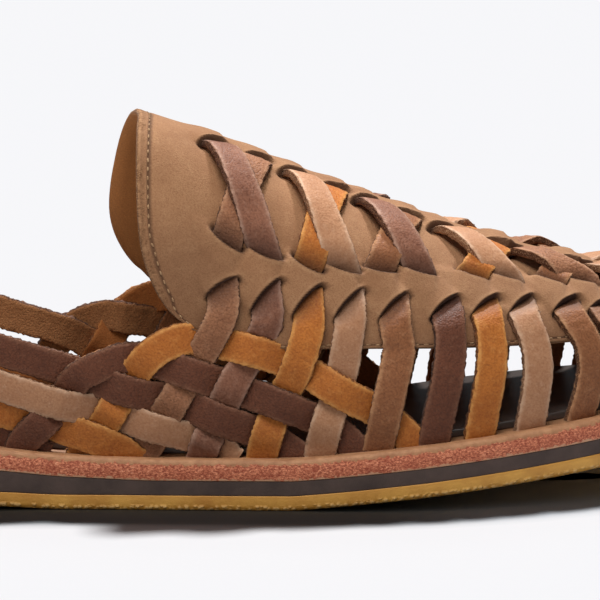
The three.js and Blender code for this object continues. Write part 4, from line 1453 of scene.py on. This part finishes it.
def edge_profile(bottom_round: float, top_round: float, thickness: float, bulge: float) -> list[tuple]:
    """Rows of a plate's section with rounded edges and a side that bulges a little.

    Args:
        bottom_round: radius of the lower edge.
        top_round: radius of the upper edge.
        thickness: typical thickness, to turn lengths into shares.
        bulge: how far the side's middle stands out.

    Returns:
        Rows of spread, inset and share, as SoleLayer.build takes them.
    """
    flat = [(0.0, 0.0), (0.5, 0.0), (0.85, 0.0), (1.0, 3.0)]
    arc = np.linspace(0, HALF_TURN, 6)
    low = bottom_round / thickness
    high = 1 - top_round / thickness
    under = [(1.0, bottom_round * (1 - math.sin(t)), low * (1 - math.cos(t))) for t in arc]
    side = [(1.0, -bulge * math.sin(math.pi * t), low + (high - low) * t) for t in np.linspace(0, 1, 8)[1:-1]]
    over = [(1.0, top_round * (1 - math.cos(t)), high + (1 - high) * math.sin(t)) for t in arc]
    bottom = [(spread, inset, 0.0) for spread, inset in flat]
    return bottom + under + side + over + [(spread, inset, 1.0) for spread, inset in flat[::-1]]


class Sockets:
    """Short ways to add and wire nodes in one tree."""

    def __init__(self, tree: bpy.types.NodeTree) -> None:
        """Keeps the tree."""
        self.tree = tree

    def add(self, kind: str, **values: object) -> bpy.types.Node:
        """Adds a node.

        Args:
            kind: type of the node.
            values: attributes to set on it.

        Returns:
            The node.
        """
        node = self.tree.nodes.new(kind)
        for key, value in values.items():
            setattr(node, key, value)
        return node

    def put(self, node: bpy.types.Node, socket: str | int, value: object) -> None:
        """Wires an output into an input, or sets the input's own value.

        Args:
            node: the node that has the input.
            socket: name or number of the input.
            value: an output of another node, or a constant.
        """
        target = node.inputs[socket]
        if isinstance(value, bpy.types.NodeSocket):
            self.tree.links.new(value, target)
        else:
            target.default_value = value

    def put_all(self, node: bpy.types.Node, values: dict[str | int, object]) -> bpy.types.Node:
        """Fills several inputs of a node.

        Args:
            node: the node.
            values: an output or a constant for each input.

        Returns:
            The same node.
        """
        for socket, value in values.items():
            self.put(node, socket, value)
        return node

    def noise(self, where: object, scale: object, detail: float = 3.0, roughness: float = 0.55) -> object:
        """A noise texture's value.

        Args:
            where: coordinates.
            scale: how many cells to the metre.
            detail: number of finer layers.
            roughness: strength of the finer layers.

        Returns:
            The value's output.
        """
        node = self.add("ShaderNodeTexNoise")
        self.put_all(node, {"Vector": where, "Scale": scale, "Detail": detail, "Roughness": roughness})
        return node.outputs["Fac"]

    def cells(self, where: object, scale: object) -> object:
        """Distance to the nearest of scattered points.

        Args:
            where: coordinates.
            scale: how many cells to the metre.

        Returns:
            The distance's output.
        """
        node = self.add("ShaderNodeTexVoronoi", feature="F1")
        return self.put_all(node, {"Vector": where, "Scale": scale}).outputs["Distance"]

    def remap(self, value: object, low: float, high: float, to_low: float = 0.0,
              to_high: float = 1.0) -> object:
        """A value moved from one range to another and held there.

        Args:
            value: the value.
            low: start of its range.
            high: end of its range.
            to_low: start of the new range.
            to_high: end of the new range.

        Returns:
            The new value's output.
        """
        node = self.add("ShaderNodeMapRange", clamp=True)
        return self.put_all(node, {"Value": value, "From Min": low, "From Max": high, "To Min": to_low,
                                   "To Max": to_high}).outputs["Result"]

    def mix(self, factor: object, first: object, second: object) -> object:
        """A mix of two colours."""
        node = self.add("ShaderNodeMix", data_type="RGBA")
        return self.put_all(node, {0: factor, 6: first, 7: second}).outputs[2]

    def math(self, operation: str, first: object, second: object = 0.0) -> object:
        """One step of arithmetic."""
        node = self.add("ShaderNodeMath", operation=operation)
        return self.put_all(node, {0: first, 1: second}).outputs[0]

    def mark(self, name: str) -> object:
        """A mesh mark's value."""
        return self.add("ShaderNodeAttribute", attribute_name=name, attribute_type="GEOMETRY").outputs["Fac"]

    def place(self) -> object:
        """Object coordinates."""
        return self.add("ShaderNodeTexCoord").outputs["Object"]


def linear(color: tuple[float, float, float]) -> tuple[float, float, float, float]:
    """A colour of 0 to 255 as seen, turned into the linear values that shaders take.

    Args:
        color: red, green and blue.

    Returns:
        Linear red, green, blue and full alpha.
    """
    shares = [channel / 255 for channel in color]
    low = [s / 12.92 if s <= 0.04045 else ((s + 0.055) / 1.055) ** 2.4 for s in shares]
    return (*low, 1.0)


def new_group(name: str, inputs: dict[str, object], outputs: dict[str, str]) -> bpy.types.NodeTree:
    """A shader node group with named sockets.

    Args:
        name: name of the group.
        inputs: each input's name and default, a number or a colour.
        outputs: each output's name and socket type.

    Returns:
        The empty group.
    """
    group = bpy.data.node_groups.new(name, "ShaderNodeTree")
    for key, value in inputs.items():
        kind = "NodeSocketColor" if isinstance(value, tuple) else "NodeSocketFloat"
        group.interface.new_socket(key, in_out="INPUT", socket_type=kind).default_value = value
    for key, kind in outputs.items():
        group.interface.new_socket(key, in_out="OUTPUT", socket_type=kind)
    return group


DEEP_CUT = (40, 24, 16)
# colour of the painted shade that the shade mark lays in slits, along stitch lines, near the hem and in the
# collar's corner
PAINTED_SHADE = (52, 29, 19)
# painted shade: each leather darkens towards the floor, from none at the top height to the share at the floor
# height, in metres
LOW_SHADE = (30, 16, 9)
LOW_SHADE_TOP = 0.068
LOW_SHADE_FLOOR = 0.016
LOW_SHADE_SHARE = 0.34


def leather_group() -> bpy.types.NodeTree:
    """Colour, roughness and height of worn, dyed leather.

    Returns:
        The group, which mottles the base colour, darkens its pores, lightens edges, shows the
        raw cut side and the suede underside, and darkens what lies in a slit.
    """
    outputs = {"Color": "NodeSocketColor", "Roughness": "NodeSocketFloat", "Height": "NodeSocketFloat"}
    inputs = {"Base": (0.5, 0.3, 0.2, 1), "Dark": (0.2, 0.1, 0.05, 1), "Light": (0.8, 0.6, 0.4, 1),
              "Cut": (0.7, 0.5, 0.3, 1), "Flesh": (0.4, 0.2, 0.1, 1), "Mottle": 90.0, "Blotch": 0.4,
              "Grain": 1500.0, "Nap": 0.3, "Wear": 0.4, "Gloss": 0.55}
    group = new_group("worn_leather", inputs, outputs)
    s = Sockets(group)
    enter = s.add("NodeGroupInput").outputs
    leave = s.add("NodeGroupOutput")
    where = s.place()
    mottle = s.noise(where, enter["Mottle"], 4.0, 0.6)
    cloud = s.noise(where, s.math("MULTIPLY", enter["Mottle"], 5.3), 3.0, 0.65)
    grain = s.noise(where, enter["Grain"], 2.0, 0.6)
    pores = s.remap(s.cells(where, s.math("MULTIPLY", enter["Grain"], 1.1)), 0.35, 0.75)
    blotch = s.math("MULTIPLY", s.remap(mottle, 0.38, 0.66), enter["Blotch"])
    color = s.mix(blotch, enter["Base"], enter["Dark"])
    color = s.mix(s.remap(cloud, 0.52, 0.78, 0.0, 0.35), color, enter["Light"])
    color = s.mix(s.remap(grain, 0.5, 0.32, 0.0, 0.55), color, enter["Dark"])
    color = s.mix(s.math("MULTIPLY", pores, 0.3), color, enter["Dark"])
    # the edge mark lightens worn edges, and on the vamp it also carries a painted highlight on the slit lips
    worn = s.math("MULTIPLY", enter["Wear"], s.remap(cloud, 0.3, 0.6, 0.3, 1.3))
    color = s.mix(s.math("MULTIPLY", s.mark("edge"), worn), color, enter["Light"])
    fibre = s.noise(where, 3100.0, 3.0, 0.75)
    deep = s.mix(0.45, enter["Dark"], linear(DEEP_CUT))
    raw = s.mix(s.remap(fibre, 0.5, 0.68), deep, enter["Cut"])
    suede = s.mix(s.remap(fibre, 0.35, 0.65, 0.0, 0.5), enter["Flesh"], enter["Dark"])
    color = s.mix(s.mark("cut"), color, raw)
    color = s.mix(s.mark("flesh"), color, suede)
    height_above = s.add("ShaderNodeSeparateXYZ")
    s.put(height_above, 0, where)
    # painted shade, darker towards the floor
    low_shade = s.remap(height_above.outputs["Z"], LOW_SHADE_TOP, LOW_SHADE_FLOOR, 0.0, LOW_SHADE_SHARE)
    color = s.mix(low_shade, color, linear(LOW_SHADE))
    # the shade mark's painted shade
    color = s.mix(s.math("MULTIPLY", s.mark("shade"), 0.97), color, linear(PAINTED_SHADE))
    s.put(leave, "Color", color)
    soft = s.math("MAXIMUM", s.mark("cut"), s.mark("flesh"))
    rough = s.math("ADD", enter["Gloss"], s.remap(grain, 0.3, 0.7, -0.07, 0.1))
    s.put(leave, "Roughness", s.math("ADD", rough, s.math("MULTIPLY", soft, 0.3)))
    pebble = s.math("MULTIPLY", pores, -0.7)
    height = s.math("ADD", pebble, s.math("MULTIPLY", grain, s.math("ADD", enter["Nap"], 0.5)))
    height = s.math("ADD", height, s.math("MULTIPLY", cloud, 0.9))
    height = s.math("ADD", height, s.math("MULTIPLY", s.math("MULTIPLY", fibre, soft), 1.6))
    s.put(leave, "Height", height)
    return group


def plain_material(name: str, roughness: float, bump: float,
                   distance: float) -> tuple[bpy.types.Material, Sockets, bpy.types.Node, bpy.types.Node]:
    """A material whose colour and height are wired by its caller.

    Args:
        name: name of the material.
        roughness: its roughness.
        bump: strength of its bump.
        distance: height of its bump in metres.

    Returns:
        The material, its Sockets, its shader and its bump node.
    """
    material = bpy.data.materials.new(name)
    material.use_nodes = True
    tree = material.node_tree
    tree.nodes.clear()
    s = Sockets(tree)
    shader = s.add("ShaderNodeBsdfPrincipled")
    out = s.add("ShaderNodeOutputMaterial")
    s.put(out, "Surface", shader.outputs[0])
    node = s.put_all(s.add("ShaderNodeBump"), {"Strength": bump, "Distance": distance})
    s.put_all(shader, {"Normal": node.outputs["Normal"], "Roughness": roughness})
    return material, s, shader, node


@dataclass(frozen=True)
class LeatherFinish:
    """Colours, scales and gloss of one leather."""

    name: str
    base: tuple
    dark: tuple
    light: tuple
    cut: tuple
    flesh: tuple = (140, 96, 62)
    mottle: float = 110.0
    blotch: float = 0.4
    grain: float = 1700.0
    nap: float = 0.3
    wear: float = 0.7
    gloss: float = 0.5
    bump: float = 0.5
    sheen: float = 0.04
    sheen_roughness: float = 0.5
    specular: float = 0.2
    relief: float = 0.00028

    def build(self, group: bpy.types.NodeTree) -> bpy.types.Material:
        """Makes the material around the leather group.

        Args:
            group: the leather group.

        Returns:
            The material.
        """
        material, s, shader, bump = plain_material(self.name, self.gloss, self.bump, self.relief)
        skin = s.add("ShaderNodeGroup", node_tree=group)
        colors = {"Base": self.base, "Dark": self.dark, "Light": self.light, "Cut": self.cut,
                  "Flesh": self.flesh}
        s.put_all(skin, {socket: linear(color) for socket, color in colors.items()})
        s.put_all(skin, {"Mottle": self.mottle, "Blotch": self.blotch, "Grain": self.grain, "Nap": self.nap,
                         "Wear": self.wear, "Gloss": self.gloss})
        s.put(bump, "Height", skin.outputs["Height"])
        s.put_all(shader, {"Base Color": skin.outputs["Color"], "Roughness": skin.outputs["Roughness"],
                           "Sheen Weight": self.sheen, "Sheen Roughness": self.sheen_roughness,
                           "Specular IOR Level": self.specular})
        return material


STRAP_FINISHES = {
    Leather.BROWN: LeatherFinish("leather_brown", (170, 116, 82), (112, 68, 45), (194, 146, 112),
                                 (186, 142, 106), flesh=(158, 100, 62), grain=1500.0, bump=0.5, gloss=0.6),
    Leather.MAUVE: LeatherFinish("leather_mauve", (152, 102, 78), (100, 59, 43), (188, 148, 126),
                                 (180, 134, 98), flesh=(152, 98, 64), bump=0.26, gloss=0.58),
    Leather.ORANGE: LeatherFinish("leather_orange", (206, 125, 54), (154, 80, 30), (234, 168, 94),
                                  (224, 162, 96), flesh=(190, 120, 66), gloss=0.6, bump=0.3),
    Leather.PINK: LeatherFinish("leather_pink", (200, 148, 110), (166, 112, 78), (224, 184, 152),
                                (230, 188, 146), flesh=(204, 156, 116), gloss=0.56, bump=0.2),
    Leather.TAN: LeatherFinish("leather_tan", (164, 106, 68), (114, 68, 42), (202, 150, 108), (210, 158, 112),
                               flesh=(176, 120, 78), bump=0.32, gloss=0.58),
    Leather.DARK: LeatherFinish("leather_dark", (122, 72, 50), (80, 45, 31), (146, 100, 76), (166, 120, 88),
                                flesh=(204, 142, 92), grain=1700.0, bump=0.42, gloss=0.56),
}
VAMP_FINISH = LeatherFinish("nubuck_vamp", (170, 126, 90), (132, 88, 58), (194, 152, 112), (214, 168, 120),
                            flesh=(188, 124, 70), mottle=75.0, blotch=0.45, grain=2600.0, nap=0.8, wear=0.3,
                            gloss=0.85, bump=0.22, sheen=0.06)
THREAD_FINISH = LeatherFinish("thread", (188, 150, 110), (120, 84, 56), (214, 182, 142), (188, 150, 110),
                              gloss=0.6)


@dataclass(frozen=True)
class BoardFinish:
    """Leather board: tan top and rounded rim, speckled red-brown cut side, light lower line."""

    name: str = "board_leather"
    stretch: tuple = (0.8, 0.8, 1.25)
    side_dark: tuple = (146, 60, 38)
    side_light: tuple = (232, 146, 106)
    side_fleck: tuple = (250, 208, 176)
    side_cloud: tuple = (168, 78, 50)
    top_light: tuple = (184, 134, 94)
    top_dark: tuple = (156, 106, 70)
    lower_line: tuple = (206, 158, 124)
    roughness: float = 0.62
    bump: float = 0.6
    relief: float = 0.0003

    def build(self) -> bpy.types.Material:
        """Makes the material.

        Returns:
            The material, which reads the mesh's mark level.
        """
        material, s, shader, bump = plain_material(self.name, self.roughness, self.bump, self.relief)
        where = s.place()
        stretched = s.put_all(s.add("ShaderNodeMapping"), {"Vector": where, "Scale": self.stretch})
        speckle = s.noise(stretched.outputs[0], 1900.0, 4.0, 0.8)
        coarse = s.noise(where, 420.0, 3.0, 0.6)
        side = s.mix(s.remap(speckle, 0.42, 0.58), linear(self.side_dark), linear(self.side_light))
        side = s.mix(s.remap(speckle, 0.6, 0.68, 0.0, 0.8), side, linear(self.side_fleck))
        side = s.mix(s.remap(coarse, 0.42, 0.7, 0.0, 0.55), side, linear(self.side_cloud))
        top = s.mix(s.remap(coarse, 0.35, 0.7), linear(self.top_light), linear(self.top_dark))
        wander = s.remap(s.noise(where, 900.0, 2.0, 0.5), 0.3, 0.7, -0.09, 0.09)
        ragged = s.math("ADD", s.mark("level"), wander)
        color = s.mix(s.remap(ragged, 0.72, 0.8), side, top)
        color = s.mix(s.remap(ragged, 0.1, 0.04), color, linear(self.lower_line))
        s.put(shader, "Base Color", color)
        s.put(bump, "Height", speckle)
        return material


@dataclass(frozen=True)
class RubberFinish:
    """Sole rubber, or the smooth sock, with a fine grain and slight mottling."""

    name: str
    base: tuple
    dark: tuple
    roughness: float
    grain: float
    pebbled: bool = False
    # colour of the painted highlight on the pebbles
    pebble_highlight: tuple = (250, 214, 150)
    pebble_scale: float = 850.0
    pebble_height: float = 5.0
    bump: float = 0.35
    relief: float = 0.0003

    def build(self) -> bpy.types.Material:
        """Makes the material.

        Returns:
            The material, with small bumps along the lower edge where it is pebbled, each with a painted
            highlight.
        """
        material, s, shader, bump = plain_material(self.name, self.roughness, self.bump, self.relief)
        where = s.place()
        fine = s.noise(where, self.grain, 3.0, 0.65)
        cloud = s.noise(where, 120.0, 3.0, 0.6)
        color = s.mix(s.remap(cloud, 0.35, 0.7), linear(self.base), linear(self.dark))
        color = s.mix(s.remap(fine, 0.55, 0.75, 0.0, 0.3), color, linear(self.dark))
        height = fine
        if self.pebbled:
            level = s.mark("level")
            pebbles = s.remap(s.cells(where, self.pebble_scale), 0.6, 0.3)
            low = s.math("MULTIPLY", s.remap(level, 0.42, 0.2), pebbles)
            color = s.mix(s.remap(level, 0.75, 0.95, 0.0, 0.5), color, linear(self.dark))
            # painted highlight on the pebbles of the lower edge
            color = s.mix(s.math("MULTIPLY", low, 0.5), color, linear(self.pebble_highlight))
            height = s.math("ADD", fine, s.math("MULTIPLY", low, self.pebble_height))
        s.put(shader, "Base Color", color)
        s.put(bump, "Height", height)
        return material


GUM_FINISH = RubberFinish("gum_rubber", (224, 168, 78), (196, 136, 56), 0.5, 1400.0, pebbled=True)
MIDSOLE_FINISH = RubberFinish("dark_rubber", (84, 68, 62), (64, 51, 47), 0.75, 1100.0)
SOCK_FINISH = RubberFinish("sock_leather", (98, 86, 80), (80, 70, 65), 0.26, 1800.0)
BOARD_FINISH = BoardFinish()


@dataclass(frozen=True)
class Lamp:
    """One soft lamp: even light of a spread in degrees, or a round soft box of a width in metres."""

    name: str
    kind: str
    place: tuple
    aim: tuple
    spread: float
    power: float
    color: tuple = (1.0, 1.0, 1.0)
    # beginnings of the names of what it lights, an empty one for the whole shoe, none for everything
    lights: tuple = ()

    def build(self) -> None:
        """Adds the lamp, aimed and sized as its fields say.

        A lamp that names what it lights shines on those pieces alone, and never on the floor.
        """
        data = bpy.data.lights.new(self.name, self.kind)
        data.energy = self.power
        data.color = self.color
        if self.kind == "SUN":
            data.angle = math.radians(self.spread)
        else:
            data.shape = "DISK"
            data.size = self.spread
        lamp = bpy.data.objects.new(self.name, data)
        lamp.location = self.place
        lamp.rotation_euler = (Vector(self.aim) - Vector(self.place)).to_track_quat("-Z", "Y").to_euler()
        bpy.context.scene.collection.objects.link(lamp)
        if self.lights:
            lit = bpy.data.collections.new(f"lit_by_{self.name}")
            for piece in bpy.context.scene.objects:
                if piece.type == "MESH" and piece.name != "floor" and piece.name.startswith(self.lights):
                    lit.objects.link(piece)
            lamp.light_linking.receiver_collection = lit


@dataclass
class Studio:
    """Floor, lights and the camera at the photo's angle."""

    azimuth: float = 6.5
    elevation: float = 8.7
    distance: float = 1400.0
    focal_pixels: float = 5716.0
    target: tuple = (153.3, 0.0, 44.8)
    frame_pixels: int = 600
    sensor: float = 36.0
    clip_end: float = 20.0
    sky_color: tuple = (0.95, 0.96, 1.0, 1.0)
    sky_strength: float = 0.07
    lamps: tuple = (
        Lamp("key", "SUN", (0.32, 0.72, 1.35), (0.12, 0.0, 0.03), 7.0, 3.6),
        Lamp("top", "AREA", (0.02, -0.3, 1.0), (0.12, 0.0, 0.04), 0.8, 9.5, lights=("",)),
        Lamp("front", "AREA", (-0.8, -1.35, 0.5), (0.12, 0.0, 0.05), 0.9, 3.2, (1.0, 0.9, 0.78), ("",)),
        Lamp("low", "AREA", (-1.0, -1.2, 0.25), (0.12, 0.0, 0.02), 0.8, 3.0, (1.0, 0.93, 0.84),
             ("outsole", "midsole", "board")),
    )
    # how far the painted shadow's rings stand out from the sole, and how dark each is, from the middle
    shadow_rings: tuple = (-30.0, -2.0, 1.0, 3.5, 6.5, 10.0, 40.0)
    shadow_shades: tuple = (1, 1, 1, 0.93, 0.55, 0.2, 0.03, 0, 0)
    shadow_shift: tuple = (-8.0, -14.0)
    shadow_steps: int = 180
    floor_reach: float = 6000.0
    floor_color: tuple = (0.88, 0.88, 0.9, 1.0)
    # colours of the painted shadow, lighter under the toe
    shadow_color: tuple = (0.2, 0.23, 0.245, 1.0)
    toe_shadow_color: tuple = (0.46, 0.5, 0.54, 1.0)
    toe_band: tuple = (132.0, 172.0)

    def camera(self, heel_seat: float) -> None:
        """Sets the camera.

        Args:
            heel_seat: distance from the heel's back edge to the part's origin.
        """
        a = math.radians(self.azimuth)
        e = math.radians(self.elevation)
        ahead = Vector((math.sin(a) * math.cos(e), math.cos(a) * math.cos(e), -math.sin(e)))
        target = (Vector(self.target) - Vector((heel_seat, 0, 0))) * MM
        data = bpy.data.cameras.new("camera")
        data.sensor_width = self.sensor
        data.lens = self.focal_pixels / self.frame_pixels * self.sensor
        data.clip_end = self.clip_end
        camera = bpy.data.objects.new("camera", data)
        camera.location = target - ahead * self.distance * MM
        camera.rotation_euler = ahead.to_track_quat("-Z", "Y").to_euler()
        bpy.context.scene.collection.objects.link(camera)
        bpy.context.scene.camera = camera

    def floor(self, last: Last) -> None:
        """The white floor, with a deep soft shadow painted into its colour where the shoe stands.

        Formula: rings of the sole's outline, moved towards the camera and outwards, carry a
        shade from 1 inside to 0 outside; the last ring is a wide circle.

        Args:
            last: the last, for the sole's outline.
        """
        angle = -np.pi + 2 * np.pi * np.arange(self.shadow_steps) / self.shadow_steps
        shift = np.array(self.shadow_shift) - np.array([last.heel_seat, 0.0])
        rings = [last.inset_point(angle, np.full_like(angle, -spread)) + shift
                 for spread in self.shadow_rings]
        middle = rings[0].mean(axis=0)
        wide = middle + self.floor_reach * unit(rings[-1] - middle)
        points = np.stack([np.broadcast_to(middle, rings[0].shape), *rings, wide], axis=1)
        flat = np.concatenate([points, np.zeros(points.shape[:2] + (1,))], axis=-1).reshape(-1, 3)
        shade = np.broadcast_to(np.array(self.shadow_shades, float), points.shape[:2])
        marks = {"shade": shade.ravel().copy(), "toe": ease(*self.toe_band, flat[:, 0])}
        quads = grid_quads(*points.shape[:2], closed_rows=True)
        piece = make_piece("floor", MeshData(flat, quads, marks), 0.0)
        material, s, shader, _ = plain_material("floor_white", 0.9, 0.0, 0.0)
        dark = s.mix(s.mark("toe"), self.shadow_color, self.toe_shadow_color)
        s.put_all(shader, {"Base Color": s.mix(s.mark("shade"), self.floor_color, dark),
                           "Specular IOR Level": 0.1})
        piece.data.materials.append(material)

    def build(self, last: Last) -> None:
        """Builds floor, world, lights and camera.

        Args:
            last: the last, for the sole's outline.
        """
        self.floor(last)
        world = bpy.data.worlds.new("studio")
        bpy.context.scene.world = world
        world.use_nodes = True
        sky = world.node_tree.nodes["Background"]
        sky.inputs["Color"].default_value = self.sky_color
        sky.inputs["Strength"].default_value = self.sky_strength
        for lamp in self.lamps:
            lamp.build()
        bpy.context.scene.view_settings.view_transform = "Standard"
        self.camera(last.heel_seat)


def dress(piece: bpy.types.Object, material: bpy.types.Material, node: str) -> None:
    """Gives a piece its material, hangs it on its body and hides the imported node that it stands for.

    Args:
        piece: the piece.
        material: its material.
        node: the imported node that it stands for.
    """
    piece.data.materials.clear()
    piece.data.materials.append(material)
    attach(piece, BODY)
    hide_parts(node)
    log.info("%s: %d faces", piece.name, len(piece.data.polygons))


def join_second(piece: bpy.types.Object, material: bpy.types.Material, beyond: Array) -> None:
    """Gives a strap's faces beyond its hidden seam a second leather.

    Args:
        piece: the strap.
        material: the second leather.
        beyond: for each point, whether it lies beyond the seam.
    """
    piece.data.materials.append(material)
    starts = np.empty(len(piece.data.polygons), dtype=np.int32)
    piece.data.polygons.foreach_get("loop_start", starts)
    corners = np.empty(len(piece.data.loops), dtype=np.int32)
    piece.data.loops.foreach_get("vertex_index", corners)
    piece.data.polygons.foreach_set("material_index", beyond[corners[starts]].astype(np.int32))


@dataclass
class Sole:
    """The four layers under the foot."""

    last: Last
    gap: float = 0.02
    midsole_inset: float = 0.15
    sock_inset: float = 8.4
    sock_thickness: float = 1.6
    sock_top: float = 1.9

    def above(self, lower: HeightOf, by: float) -> HeightOf:
        """Height a little above another one, as a function of x."""
        return lambda x: lower(x) + by

    def build(self) -> None:
        """Builds outsole, midsole, board and insole, each dressed.

        Each layer runs from just above the top of the one below it up to its own top.
        """
        last = self.last
        sock_top = self.above(last.board_top, self.sock_top)
        layers = (
            ("outsole_gum", "outsole", "gum_rubber", GUM_FINISH, 0.0,
             edge_profile(1.1, 0.15, last.outsole_thickness, 0.05), last.underside, last.outsole_top),
            ("midsole_dark", "midsole", "dark_rubber", MIDSOLE_FINISH, self.midsole_inset,
             edge_profile(0.2, 0.2, last.midsole_thickness, 0.0),
             self.above(last.outsole_top, self.gap), last.midsole_top),
            ("board", "footbed_board", "board_leather", BOARD_FINISH, 0.0,
             edge_profile(0.25, 1.2, last.board_thickness, 0.12),
             self.above(last.midsole_top, self.gap), last.board_top),
            ("sock", "insole", "sock_leather", SOCK_FINISH, self.sock_inset,
             edge_profile(0.3, 0.5, self.sock_thickness, 0.0),
             self.above(last.board_top, self.gap), sock_top),
        )
        for name, node, slot, finish, inset, profile, floor, roof in layers:
            mesh = SoleLayer(last, inset).build(profile, floor, roof)
            dress(make_piece(name, mesh, last.heel_seat), finish.build(), node)


@dataclass
class Upper:
    """The woven upper: the vamp, its stitches and all the straps."""

    last: Last
    rows: VampRows = VampRows()
    node: str = "upper"
    slot: str = "upper_leather"

    def build(self) -> None:
        """Builds vamp, stitches and straps, each dressed.

        A strap of two leathers gets its second one beyond its hidden seam.
        """
        group = leather_group()
        finishes = {leather: finish.build(group) for leather, finish in STRAP_FINISHES.items()}
        plan = SlitPlan(self.last, self.rows)
        straps = StrapSet(self.last, self.rows, plan)
        vamp = Vamp(self.last, self.rows, straps, plan)
        self.add("vamp", vamp.build(), VAMP_FINISH.build(group))
        thread = THREAD_FINISH.build(group)
        stitching = Stitching(vamp)
        for line in ("collar", "lateral", "medial"):
            self.add(f"stitches_{line}", stitching.build(line), thread)
        for name, leather, data in straps.build():
            piece = self.add(name, data, finishes[leather])
            if name in straps.seams:
                second, seam = straps.seams[name]
                join_second(piece, finishes[second], data.marks["along"] > seam)

    def add(self, name: str, data: MeshData, material: bpy.types.Material) -> bpy.types.Object:
        """Makes one dressed piece of the upper.

        Args:
            name: name of the piece.
            data: its mesh.
            material: its material.

        Returns:
            The piece.
        """
        piece = make_piece(name, data, self.last.heel_seat)
        dress(piece, material, self.node)
        return piece


def main() -> None:
    """Loads the frame, builds sole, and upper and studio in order.

    Each piece is logged as it is dressed.
    """
    logging.basicConfig(level=logging.INFO, format="%(message)s")
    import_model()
    last = Last()
    Sole(last).build()
    Upper(last).build()
    Studio().build(last)


if __name__ == "__main__":
    main()
